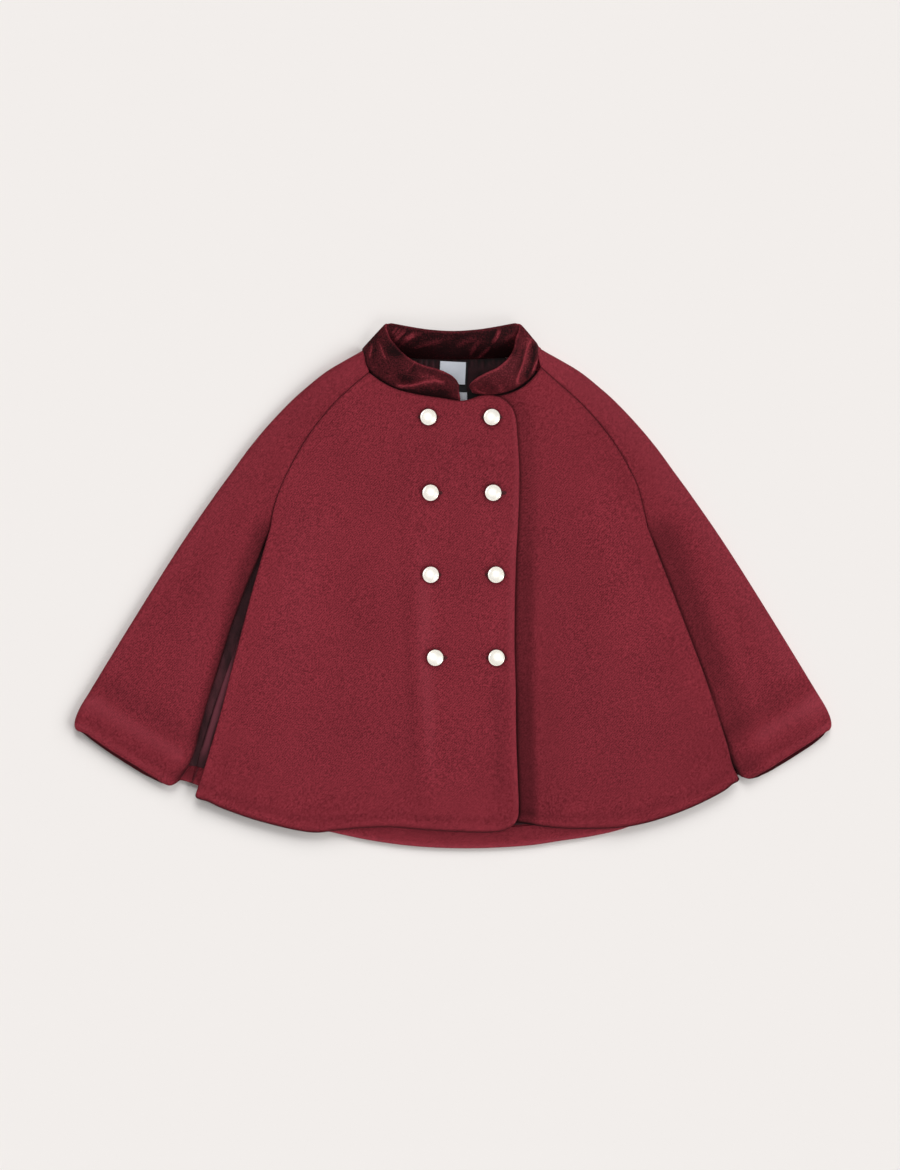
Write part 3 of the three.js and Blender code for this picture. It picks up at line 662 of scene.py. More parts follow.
# painted shadow that the right front's edge throws on the left front: a dark line at the edge and a band
# beside it
paintedEdgeShadow = {"line": 0.42, "lineWide": 2.4, "band": 0.30, "bandFrom": 14.0, "bandTo": 23.0}
grid = patch(smoothLine(leftNeck), smoothLine(leftHem), smoothLine(leftEdge), leftSeam, 130, 150, turnSteps)
x, y = grid[..., 0], grid[..., 1]
freeSide = awayFrom(grid, "right") + 90 * ramp(y, 40, 70)
turning = np.minimum(awayFrom(grid, "bottom"), freeSide)
centre = flatCentre(grid, leftFrontTop, thick, leftCreases)
centre[..., 2] += turnedRelief(turning) + uneven(x, y, fronts["waves"], 55, 12)
beyond = fromPath(x, y, rightNeck[-4:-1] + rightEdge)[0]  # distance from the right front's edge
crisp = ramp(y, -20, 120)
bandTo = paintedEdgeShadow["bandTo"] + 2 * crisp
# painted light and shade: the hem's crown and dip, shade at the slit edge, in the seam and under the collar
tone = turnedTone(awayFrom(grid, "bottom")) - 0.4 * hump(freeSide, 0, 1.4)
tone += creased(x, y, leftCreases, "shade") + seamTone(grid, "right")
tone -= 0.2 * hump(awayFrom(grid, "top"), 0, 2)
# darker overall and towards the hem
tone -= 0.045 + 0.04 * ramp(-y, 60, 160)
tone -= paintedEdgeShadow["line"] * hump(beyond, 0, paintedEdgeShadow["lineWide"])
tone -= 0.10 * (1 - ramp(beyond, 20, 62)) * (1 - crisp)
band = paintedEdgeShadow["band"] - 0.06 * ramp(y, 25, 90) + 0.09 * ramp(-y, 75, 140)
tone -= band * (1 - ramp(beyond, paintedEdgeShadow["bandFrom"] - 8 * crisp, bandTo))
frontLeft = shell("frontLeft", centre, roundedHalf(centre, thick, 0.35), wool, "wool", tone=tone)
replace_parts(frontLeft, "front_left")

backSeams = [sideLine("back", side, gap) for side in (-1, 1)]
grid = patch(smoothLine(backNeck), smoothLine(backHem), backSeams[0], backSeams[1], 90, 110)
centre = flatCentre(grid, lambda x, y: 0 * x + thick, thick)
back = shell("backPanel", centre, roundedHalf(centre, thick), wool, "wool", tone=0 * grid[..., 0])
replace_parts(back, "back")
print("fronts and back ready")

sleeve = {
    "neckRadius": 6.5,  # outer fold at the neck, and where it has settled further down
    "bodyRadius": 4.15,
    "dome": 0.8,
    "rightEdgeTop": 7.6,
    "leftTuck": 4.0,
    "waves": 0.25,
    "foldLight": {-1: 0.05, 1: 0.10},  # painted highlight along the outer fold
    "foldWide": {-1: 30, 1: 34},
    "slitDark": {-1: 0.50, 1: 0.40},
    "slitFlat": {-1: 4, 1: 15},  # the shade beside an arm slit is even this far
    "slitWide": {-1: 21, 1: 39},  # and gone by this far
    "hemDark": 0.86,  # painted shade on the back half of a side panel, which shows as a dark line under its hem
}
# the third number of each fold is painted light or shade along it
sleeveCreases = {
    -1: [
        fold(14, 0.6, 0.03, [(-205, 70), (-238, -10), (-268, -90), (-292, -165)]),
        fold(15, -0.4, -0.06, [(-262, 30), (-300, -50), (-325, -120)]),
    ],
    1: [
        fold(14, 0.6, 0.03, [(222, 70), (258, -10), (290, -90), (316, -160)]),
        fold(12, -0.3, -0.05, [(212, 100), (240, 40), (275, -30)]),
    ],
}


def sidePanel(side, column, hem, frontCols=40, backCols=20, foldCols=10, rows=120):
    s = sleeve
    foldLine = evenly(smoothDense([(side * x, y) for x, y in outerFold]), 900)
    v = spacing(490, rows, turnSteps)
    radius = s["neckRadius"] + (s["bodyRadius"] - s["neckRadius"]) * ramp(v, 0, 0.25)
    run = np.gradient(foldLine, axis=0)
    outward = np.stack([-run[:, 1], run[:, 0]], axis=1) * side
    outward /= np.linalg.norm(outward, axis=1, keepdims=True)
    lineSteps = np.linspace(0, 1, 900)
    # at the corner the fold runs out along the hem
    atCorner = ramp(lineSteps, 0.955, 1.0)[:, None]
    outward = outward * (1 - atCorner) + np.array([side * 0.62, 0.78]) * atCorner
    outward /= np.linalg.norm(outward, axis=1, keepdims=True)
    radiusLine = s["neckRadius"] + (s["bodyRadius"] - s["neckRadius"]) * ramp(lineSteps, 0, 0.25)
    inside = foldLine - outward * radiusLine[:, None]
    frontEdge, backEdge = sideLine(column, side, -gap), sideLine("back", side, -gap)

    def half(edge, hemPoints, cols):
        between = [(side * x, y) for x, y in hemPoints[1:]]
        hemLine = smoothLine([tuple(edge[-1])] + between + [tuple(inside[-1])])
        topLine = np.linspace(edge[0], inside[0], 200)
        u0 = np.concatenate([turnSteps / 110, np.linspace(turnSteps[-1] / 110, 1, cols)[1:]])
        a, b = [m[..., None] for m in np.meshgrid(u0, v)]
        across = (1 - a) * along(edge, b[..., 0]) + a * along(inside, b[..., 0])
        down = (1 - b) * along(topLine, a[..., 0]) + b * along(hemLine, a[..., 0])
        upper = (1 - a) * topLine[0] + a * topLine[-1]
        lower = (1 - a) * hemLine[0] + a * hemLine[-1]
        return across + down - (1 - b) * upper - b * lower, u0

    front, frontU = half(frontEdge, hem, frontCols)
    rear = half(backEdge, backSideHem[side], backCols)[0]
    edge = along(frontEdge, v)
    frontTop = leftFrontTop if side > 0 else rightFrontTop
    edgeTop = frontTop(edge[:, 0], edge[:, 1])
    free = ramp(edge[:, 1], 58, 120)
    if side > 0:
        edgeTop = edgeTop - s["leftTuck"] * (1 - free)
    else:
        edgeTop = edgeTop * free + s["rightEdgeTop"] * (1 - free)
    top = edgeTop[:, None] * (1 - frontU) + 2 * radius[:, None] * frontU
    top = top + s["dome"] * np.sin(np.pi * frontU) * ramp(v, 0, 0.2)[:, None]
    x, y = front[..., 0], front[..., 1]
    up = awayFrom(front, "bottom")
    hemWaves = 0.45 * hump(up, 33, 8) - 0.40 * hump(up, 53, 10)
    fromFold = awayFrom(front, "right")
    settle = ramp(fromFold, 0, 12)
    top = top + (turnedRelief(up) + hemWaves + uneven(x, y, s["waves"], 50, 20 + side)) * settle
    top = top + creased(x, y, sleeveCreases[side]) * settle
    # painted light and shade: a highlight on the hem's ridge and shade above it, as on a turned edge
    tone = turnedTone(up, 0.2) + 0.16 * hump(up, 33, 8) - 0.16 * hump(up, 54, 11)
    tone = tone + creased(x, y, sleeveCreases[side], "shade")
    # painted shade beside the slit, where the other side of the slit keeps the light from the cloth beside it
    beyond = "leftFront" if side > 0 else "rightSide"
    other = [(side * px, py) for px, py in zip(levels[beyond], levels["y"])][slitRow:]
    other.append((side * slitEnd[beyond][0], slitEnd[beyond][1]))
    beside = fromPath(x, y, other)[0]
    parted = (1 - ramp(y, 50, 80)) * (0.55 + 0.45 * ramp(y, -150, -60))
    reach = s["slitWide"][side] * (1 if side > 0 else 0.55 + 0.6 * ramp(y, -60, 25))
    shaded = parted * (1 - ramp(beside, s["slitFlat"][side], reach))
    tone = tone + seamTone(front, "left") - s["slitDark"][side] * shaded
    # painted shade in the gap under the front's edge
    gaping = ramp(-y, 140, 172) * (side > 0)
    tone = tone - (0.55 + 0.3 * gaping) * (1 - ramp(y, 40, 62)) * hump(beside, 0, 2.2 + 2.2 * gaping)
    # painted highlight along the outer fold
    tone = tone + s["foldLight"][side] * (1 - ramp(fromFold, 0, s["foldWide"][side]))
    frontPart = np.dstack([front, top - thick / 2])
    rearPart = np.dstack([rear, np.full(rear.shape[:2], thick / 2)])
    angles = np.linspace(np.pi / 2, -np.pi / 2, foldCols + 1)[1:-1]
    fixed, out = along(inside, v), along(outward, v)
    mid = (radius - thick / 2)[:, None]
    flatPart = fixed[:, None, :] + out[:, None, :] * (mid * np.cos(angles))[..., None]
    foldPart = np.dstack([flatPart, radius[:, None] + mid * np.sin(angles)])
    centre = np.concatenate([frontPart, foldPart, rearPart[:, ::-1]], axis=1)
    foldTone = np.repeat(tone[:, -1:], len(angles), axis=1)
    # painted shade on the back half near its hem
    rearTone = -s["hemDark"] * (1 - ramp(awayFrom(rear, "bottom"), 6, 14))
    tone = np.concatenate([tone, foldTone, rearTone[:, ::-1]], axis=1)
    return (centre, tone) if side > 0 else (centre[:, ::-1], tone[:, ::-1])


panels = {}
for name, side, column, hem, node in (
    ("sideRight", -1, "rightSide", rightSideHem, "side_right"),
    ("sideLeft", 1, "leftSide", leftSideHem, "side_left"),
):
    centre, tone = sidePanel(side, column, hem)
    panels[name] = shell(name, centre, roundedHalf(centre, thick, 0.25), woolSleeve, "wool", tone=tone)
    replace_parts(panels[name], node)
print("side panels ready")

# What shows inside: the turned hems and the lining
inside = {"hemTurn": 20.0, "gap": 0.3, "facing": 1.6, "gathers": 46, "gatherHigh": 0.55}
base = thick + inside["gap"]


def hemBand(hem, rows=8, cols=110):
    outer = smoothLine(hem, cols)
    run = np.gradient(outer, axis=0)
    run /= np.linalg.norm(run, axis=1, keepdims=True)
    inward = np.stack([-run[:, 1], run[:, 0]], axis=1)
    width = inside["hemTurn"]
    middle = np.linspace(rimSteps[-1], width - 3, rows)[1:]
    away = np.concatenate([rimSteps, middle, width - rimSteps[::-1][1:]])
    return np.array([outer + inward * d for d in away[::-1]])


for name, node, hem in (
    ("facingBackHem", "facing_back_hem", [(x, y + 0.3) for x, y in backHem]),
    ("facingSideHemRight", "facing_side_hem_right",
     [(-(x - 0.4 * (x < 263)), y + 0.2) for x, y in reversed(backSideHem[-1])]),
):
    band = hemBand(hem)
    centre = flatCentre(band, lambda x, y: 0 * x + base + inside["facing"], inside["facing"])
    low = awayFrom(band, "bottom")
    # a painted highlight along the lower edge and painted shade further in
    tone = 0.22 * hump(low, 1.5, 2.0) - 0.10 * ramp(low, 4, 12)
    if name == "facingBackHem":
        tone = tone - 0.14 * ramp(-band[..., 0], 238, 248)  # in the shade of the arm slit
    else:
        # the facing under the right sleeve is painted deep in shade, darkest at its end
        tone = tone - 0.42 - 0.6 * ramp(-band[..., 0], 276, 288)
    panels[name] = shell(name, centre, roundedHalf(centre, inside["facing"]), woolInside, "wool", tone=tone)
    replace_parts(panels[name], node)

liningCreases = [
    fold(3.5, 0.5, 0.06, [(-60, 219), (-20, 214), (20, 216), (62, 221)]),
    fold(3.0, 0.6, 0.08, [(-48, 208), (-20, 203), (-18, 199)]),
    fold(3.2, 0.7, 0.08, [(22, 208), (45, 205), (66, 212)]),
    # painted sheen and painted shade on the strip that the right arm slit shows
    fold(4.2, 0.5, 0.72, [(-219, -62), (-227, -92), (-236, -122), (-247, -162), (-252, -181)], 0.2),
    fold(4.5, 0.2, 0.24, [(-201, -6), (-207, -26), (-214, -50)]),
    fold(1.3, -0.8, -0.75, [(-222, -70), (-231.5, -98), (-241, -126), (-253.5, -166)], 0.1),
    fold(1.9, -0.2, -0.45, [(-214, -70), (-223, -100), (-232, -130), (-243.5, -163), (-249, -179)], 0.1),
    # painted shade in the hollow behind the neck opening
    fold(5, -0.2, -0.85, [(12, 191), (22, 190), (32, 191)], 0.2),
    fold(2.5, 0.5, 0.06, [(30, 199), (40, 198), (58, 203)]),
]
dice = np.random.default_rng(5)
for k in range(inside["gathers"]):
    # small gathers hang from the collar seam, with painted light on their ridges and painted shade in their
    # hollows
    at = -64 + 128 * k / (inside["gathers"] - 1) + dice.uniform(-1.2, 1.2)
    long, lean = dice.uniform(6, 16), dice.uniform(-2.5, 2.5)
    high = dice.uniform(0.5, 1.0) * (1 if k % 2 else -0.8)
    fall = [(at, 228.4), (at + lean * 0.4, 228.4 - long * 0.5), (at + lean, 228.4 - long)]
    liningCreases.append(fold(dice.uniform(0.9, 1.6), inside["gatherHigh"] * high, 0.42 * high, fall, 0.35))


def liningBack():
    # its lower edge falls over the turned hem
    seams = []
    for side in (-1, 1):
        seam = sideLine("back", side, 0.1)
        seam = seam[seam[:, 1] > -166]
        seams.append(smoothLine(np.vstack([seam[::20], [(side * 256.4, -180.6)]])))
    hem = [(x * 0.958, y + 21.0 + 0.4) for x, y in backHem[1:-1]]
    bottom = smoothLine([tuple(seams[0][-1])] + hem[1:-1] + [tuple(seams[1][-1])])
    top = smoothLine([tuple(seams[0][0])] + [(x, y + 2.4) for x, y in backNeck[1:-1]] + [tuple(seams[1][0])])
    return patch(top, bottom, seams[0], seams[1], 190, 170)


def liningTop(x, y):
    overHem = ramp(-y, 168, 174) * ramp(np.abs(x), 240, 250)
    return base + cloth["lining"] + (inside["facing"] + 0.1) * overHem


grid = liningBack()
centre = flatCentre(grid, liningTop, cloth["lining"], liningCreases)
x, y = grid[..., 0], grid[..., 1]
# painted shade under the collar seam
tone = creased(x, y, liningCreases, "shade") - 0.5 * (1 - ramp(awayFrom(grid, "top"), 0, 9))
tone -= (0.42 + 0.16 * ramp(x, 10, 30)) * ramp(y, 150, 190)  # the collar shades it
panels["liningBack"] = shell(
    "liningBack", centre, roundedHalf(centre, cloth["lining"]), satin, "lining", tone=tone)
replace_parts(panels["liningBack"], "lining_back")


def liningSide():
    seam = sideLine("back", -1, 0.5)  # under the edge of the back's lining
    seam = seam[seam[:, 1] > -166]
    right = smoothLine(np.vstack([seam[::20], [(-256.6, -180.6)]]))
    left = smoothLine([(-(x - 7), y - 3.5) for x, y in outerFold[:-3]] + [(-350, -136)])
    low = [(-330, -152), (-311, -165), (-295, -172.5), (-278, -177.4)]
    bottom = smoothLine([tuple(left[-1])] + low + [tuple(right[-1])])
    top = np.linspace(left[0], right[0], 200)
    return patch(top, bottom, left, right, 80, 26)


# the third number of each fold is painted light or shade in the lining seen through the arm slit
slitCreases = [
    fold(2.2, 0.6, 0.14, [(-206, 10), (-222, -50), (-240, -110), (-252, -160)]),
    fold(1.6, 0.4, 0.2, [(-236, -120), (-243, -130), (-250, -134)]),
    fold(1.8, -0.5, -0.3, [(-214, -20), (-226, -70), (-236, -100)]),
    fold(2.0, -0.5, -0.25, [(-238, -80), (-250, -130), (-257, -165)]),
]
grid = liningSide()
centre = flatCentre(grid, liningTop, cloth["lining"], slitCreases)
# the whole strip in the slit is painted a little darker, as shade
tone = creased(grid[..., 0], grid[..., 1], slitCreases, "shade") - 0.1
panels["liningSideRight"] = shell(
    "liningSideRight", centre, roundedHalf(centre, cloth["lining"]), satin, "lining", tone=tone)
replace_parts(panels["liningSideRight"], "lining_side_right")
print("hems and lining ready")

collar = {
    "thick": 4.2,  # both layers of velvet with the interlining between them
    "bulge": 3.2,
    "columns": 400,
    "rows": 34,
    # painted shade along the seam and a painted sheen along the rim
    "seamDark": 0.5,
    "rimLight": 0.55,
    "rightWider": 2.6,
}
# seam x, y, z and top edge x, y, z, from the back centre to the side
collarSide = [
    (0, 227.4, 2.4, 0, 253.8, 26), (30, 228, 2.4, 24, 255.4, 25), (62, 229.8, 2.4, 46, 259.2, 21),
    (78, 231.6, 2.6, 57, 261.4, 18.4), (85, 234, 3.8, 62.6, 262.2, 17.2),
    (87.4, 235.4, 6.6, 65.6, 261, 17.4), (86.4, 232.6, 10.2, 66, 257.6, 18.4),
    (84.9, 227.5, 12.2, 65, 253.6, 20), (83.6, 220.6, 12.8, 62.4, 247, 22),
]
collarRightEnd = [
    (-80.4, 212.4, 12.8, -58, 241, 24), (-69, 204.6, 12.8, -51.6, 234, 26.5),
    (-53.4, 197.4, 12.8, -43.4, 226.8, 28.5), (-34, 192.6, 12.8, -31.6, 220.6, 30),
    (-12, 189.2, 12.9, -17.5, 216.4, 30.6), (-2, 187.6, 13, -7, 212.6, 30),
    (4.6, 186.3, 13.2, 0.4, 208, 27), (7.6, 185.8, 13.2, 4.4, 200.8, 22.5),
]
collarLeftEnd = [
    (80.6, 212.4, 12.6, 61.4, 240, 25), (72.6, 204.4, 12.4, 59, 233, 28), (61.4, 197.4, 12.2, 53, 224.4, 31),
    (49.2, 193.4, 12, 44, 217, 33), (37, 192, 11.8, 33, 211.8, 33), (28, 192.4, 11.8, 23.4, 206.8, 30),
    (21.6, 193.8, 12, 18, 202.4, 24.5), (18.8, 194.6, 12.2, 17, 199.2, 18.5),
]
# folds of the velvet, with painted sheen along each ridge and painted shade along each trough
velvetCreases = [
    fold(2.4, 1.4, 0.95,
         [(-59, 201), (-51, 200), (-41, 200.3), (-29, 203.6), (-18, 205.3), (-4, 202.6)], 0.16),
    fold(2.8, -0.6, -0.34, [(-62, 211), (-54, 210), (-41, 207.1), (-30, 208.8)], 0.5),
    fold(2.2, 0.4, 0.34, [(-38, 210), (-25, 210), (-12, 207.5)]),
    fold(5.2, -0.5, -0.50, [(-57, 198), (-34, 193.2), (-12, 192), (4, 191)], 0.25),
    fold(1.5, 0.9, 0.9, [(-79.4, 243), (-80.4, 235), (-83, 226)]),
    fold(2.4, -0.5, -0.3, [(-76, 246), (-76.6, 233), (-77, 217)], 0.45),
    fold(1.5, 0.7, 0.66, [(-73.5, 244), (-70, 234), (-65.5, 224)]),
    fold(3.2, -0.3, -0.2, [(-69, 248), (-64, 236), (-57, 222)], 0.45),
    fold(1.3, 0.6, 0.6, [(-36, 224), (-41, 219), (-46.5, 213)]),
    fold(1.8, -0.4, -0.26, [(-34, 221), (-39, 216), (-43, 210)], 0.5),
    fold(3.2, 0.3, 0.2, [(-66, 214), (-58, 209), (-50, 206)]),
    fold(1.3, 0.8, 0.85, [(-45.6, 259), (-48, 254.6), (-53.7, 249.6), (-60, 243.6)]),
    fold(1.1, 0.6, 0.75, [(-50.6, 258.4), (-55.1, 252.4), (-60, 248.6)]),
    fold(1.1, 0.5, 0.7, [(-55, 259), (-60.6, 251)]),
    fold(1.6, -0.5, -0.35, [(-44, 258), (-49, 251), (-55, 246)]),
    fold(1.9, 0.6, 0.42, [(-34, 256), (-40, 251), (-47, 246), (-56, 239)]),
    fold(3.4, -0.4, -0.14, [(-44, 246), (-32, 241), (-20, 234)], 0.5),
    fold(2.2, 0.6, 0.48, [(-44, 237.6), (-31, 241), (-20, 244), (-6, 246.4)]),
    fold(1.6, 0.6, 0.5, [(-52, 245.6), (-40, 250), (-27, 254.4)]),
    fold(1.9, 0.5, 0.34, [(0, 239), (12, 244.6), (26, 249)]),
    fold(1.6, -0.3, -0.2, [(-20, 235), (-8, 239), (0, 243)]),
    fold(4.0, 0.0, -0.24, [(-86, 236), (-80, 244), (-72, 254)]),
    fold(1.3, 0.8, 0.9, [(46.6, 259), (44.9, 252.4), (41.3, 246), (37.5, 242)]),
    fold(1.4, 0.7, 0.75, [(38, 242), (32.7, 236), (26.3, 230.6), (23, 227)]),
    fold(2.0, -0.5, -0.35, [(42, 257), (39, 250), (34, 244)]),
    fold(1.9, 0.5, 0.5, [(29, 247.6), (23.4, 242.4), (18.4, 236), (15, 229)]),
    fold(2.6, 0.5, 0.45, [(49, 244), (57, 249.6), (65, 251.4)]),
    fold(3.6, -0.3, -0.14, [(30, 235), (44, 234.6), (60, 238)], 0.5),
    fold(1.7, 1.1, 0.92, [(77.4, 248), (72, 233.9), (68.4, 221), (64.1, 208.1), (62.4, 200)], 0.14),
    fold(1.6, 0.8, 0.85, [(82, 248), (85.3, 238.1), (84.9, 228.1), (81.3, 220.3), (76.6, 211.6)], 0.15),
    fold(2.4, -0.9, -0.55, [(80.6, 244), (79.1, 229.6), (75.6, 218.1), (70.4, 206)], 0.15),
    fold(2.0, -0.4, -0.34, [(73, 244), (66.3, 224), (61, 209)]),
    fold(1.3, 0.4, 0.5, [(19.6, 199.6), (26.3, 195.2), (34.9, 192.2), (47, 193.4)], 0.15),
    fold(1.7, 0.4, 0.3, [(44, 204), (48, 198), (52, 193)]),
    fold(3.0, -0.3, -0.2, [(30, 205), (38, 200), (44, 197)]),
]


def collarCentre():
    wider = collar["rightWider"]  # the right side has settled a little further out
    mirrored = [(-r[0] - wider * ramp(r[0], 62, 84), r[1], r[2], -r[3], r[4], r[5]) for r in collarSide[1:]]
    rows = collarRightEnd[::-1] + mirrored[::-1] + collarSide + collarLeftEnd
    dense = smoothDense(rows, 40)
    seam, edge = dense[:, :3], dense[:, 3:]
    run = np.concatenate([[0], np.cumsum(np.linalg.norm(np.diff((seam + edge) / 2, axis=0), axis=1))])
    at = spacing(run[-1], collar["columns"]) * run[-1]
    seam = np.stack([np.interp(at, run, seam[:, k]) for k in range(3)], axis=1)
    edge = np.stack([np.interp(at, run, edge[:, k]) for k in range(3)], axis=1)
    v = spacing(36, collar["rows"])[:, None, None]
    middle = seam * (1 - v) + edge * v
    middle[..., 2] += collar["bulge"] * np.sin(np.pi * v[..., 0])
    middle = middle[::-1]
    x, y = middle[..., 0], middle[..., 1]
    lift = creased(x, y, velvetCreases) * ramp(v[::-1, :, 0], 0, 0.15)
    # painted shade inside the back of the collar, deepest at the seam; in front it is lighter towards +X
    behind = ramp(y, 226, 233) * (1 - ramp(np.abs(x), 56, 68))
    nap = (0.22 + 0.22 * ramp(x, 0, 45)) * (1 - behind) + behind * (-0.38 + 0.28 * ramp(y, 231, 249))
    nap = nap + creased(x, y, velvetCreases, "shade")
    centre = middle + normalsOf(middle) * lift[..., None]
    rim = np.minimum.reduce([awayFrom(centre, side) for side in ("top", "left", "right")])
    # a painted sheen along the rim and painted shade along the seam
    nap = nap + collar["rimLight"] * hump(rim, 0.4, 1.2)
    nap = nap - collar["seamDark"] * hump(awayFrom(centre, "bottom"), 0, 2.6)
    return centre, nap


centre, nap = collarCentre()
collarPiece = shell("velvetCollar", centre, roundedHalf(centre, collar["thick"]), velvet, "velvet", nap=nap)
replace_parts(collarPiece, "collar_outer", "collar_inner")
print("collar ready")

# Labels, bare of any print
labels = [
    {"name": "labelSize", "node": "label_size", "slot": "label_grey", "material": ribbonWhiteInShade,
     "size": (8.6, 20), "at": (9.8, 192), "turn": 0.03, "z": 4.5, "bow": 0.3},
    {"name": "labelBacking", "node": "label_backing", "slot": "label_black", "material": ribbonBlack,
     "size": (28.8, 30), "at": (0.2, 209.2), "turn": -0.04, "z": 5.8, "bow": 0.3},
    {"name": "labelNeck", "node": "label_neck", "slot": "label_white", "material": ribbonWhite,
     "size": (26, 22.5), "at": (-0.4, 213.2), "turn": -0.05, "z": 7.1, "bow": 0.7},
]
for label in labels:
    wide, tall = label["size"]
    u, v = np.meshgrid(spacing(wide, 16) - 0.5, 0.5 - spacing(tall, 14))
    c, s = math.cos(label["turn"]), math.sin(label["turn"])
    x = label["at"][0] + u * wide * c - v * tall * s
    y = label["at"][1] + u * wide * s + v * tall * c
    z = label["z"] + label["bow"] * np.cos(np.pi * u) * np.cos(np.pi * v) * np.sin(3 * u + 2 * v + 1.4)
    centre = np.dstack([x, y, z])
    half = roundedHalf(centre, 0.8)
    panels[label["name"]] = shell(label["name"], centre, half, label["material"], label["slot"])
    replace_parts(panels[label["name"]], label["node"])
print("labels ready")

button = {
    "radius": 8.25,
    "rimWide": 1.3,
    "rimHigh": 1.7,
    "face": 0.85,
    "dome": 1.3,
    "shank": 1.5,
    "shankRadius": 1.9,
}


def buttonProfile():
    b = button
    low, rim = b["shank"], b["rimHigh"]
    points = [
        (0, 0), (b["shankRadius"], 0), (b["shankRadius"], low - 0.2), (b["radius"] * 0.8, low),
        (b["radius"] - 0.5, low + 0.1), (b["radius"] - 0.08, low + 0.5), (b["radius"], low + 0.85),
        (b["radius"] - 0.1, low + rim - 0.35), (b["radius"] - 0.4, low + rim - 0.08),
        (b["radius"] - 0.75, low + rim - 0.05), (b["radius"] - 1.1, low + rim - 0.3),
        (b["radius"] - b["rimWide"], low + b["face"]),
    ]
    inner = b["radius"] - b["rimWide"] - 0.15
    for k in range(9):
        r = inner * (1 - k / 8)
        points.append((r, low + b["face"] + 0.05 + b["dome"] * (1 - (r / inner) ** 2)))
    return np.array(points)


def frontHeight(x, y):
    return float(rightFrontTop(np.array(x), np.array(y)))


def addButton(name, x, y, lean, node):
    profile, turns = buttonProfile(), 48
    angle = np.linspace(0, 2 * np.pi, turns, endpoint=False)
    body = profile[1:-1]
    rings = np.stack([
        body[:, 0][:, None] * np.cos(angle), body[:, 0][:, None] * np.sin(angle),
        np.repeat(body[:, 1][:, None], turns, axis=1)], axis=-1).reshape(-1, 3)
    points = np.vstack([rings, [[0, 0, profile[0][1]], [0, 0, profile[-1][1]]]])
    c, s = math.cos(lean), math.sin(lean)
    leanX, leanZ = points[:, 0] * c + points[:, 2] * s, points[:, 2] * c - points[:, 0] * s
    points = np.stack([leanX, points[:, 1], leanZ], axis=1)
    points += [x, y, frontHeight(x, y) + 0.3]
    ring = np.arange(len(body) * turns).reshape(len(body), turns)
    after = np.roll(ring, -1, axis=1)
    sides = np.stack([ring[:-1], after[:-1], after[1:], ring[1:]], axis=-1).reshape(-1, 4).tolist()
    bottom, peak = len(rings), len(rings) + 1
    caps = [(bottom, int(after[0][k]), int(ring[0][k])) for k in range(turns)]
    caps += [(peak, int(ring[-1][k]), int(after[-1][k])) for k in range(turns)]
    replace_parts(addPiece(name, points, sides + caps, metal), node)


for number, row in enumerate(buttonRows, 1):
    for column in ("inner", "outer"):
        name = "button" + column.capitalize() + str(number)
        addButton(name, row[column], row["y"], row[column + "Lean"], "button_%s_%d" % (column, number))
print("buttons ready")

buttonhole = {
    "long": 20.0,
    "wide": 2.4,
    "slit": 1.1,
    "pitch": 0.62,  # from one stitch to the next
    "stitchLong": 2.0,
    "stitchThick": 0.62,
    "uneven": 0.16,
}


def holePath(x, y, steps=10):
    # the oval that the stitches follow, round the cut
    reach, radius = buttonhole["long"] / 2 - buttonhole["wide"] / 2, buttonhole["wide"] / 2
    turn = np.linspace(-np.pi / 2, np.pi / 2, steps)
    right = np.stack([x + reach + radius * np.cos(turn), y + radius * np.sin(turn)], axis=1)
    line = np.vstack([right, 2 * np.array([x, y]) - right])
    return np.array([(px, py, frontHeight(px, py) + 0.05) for px, py in line])


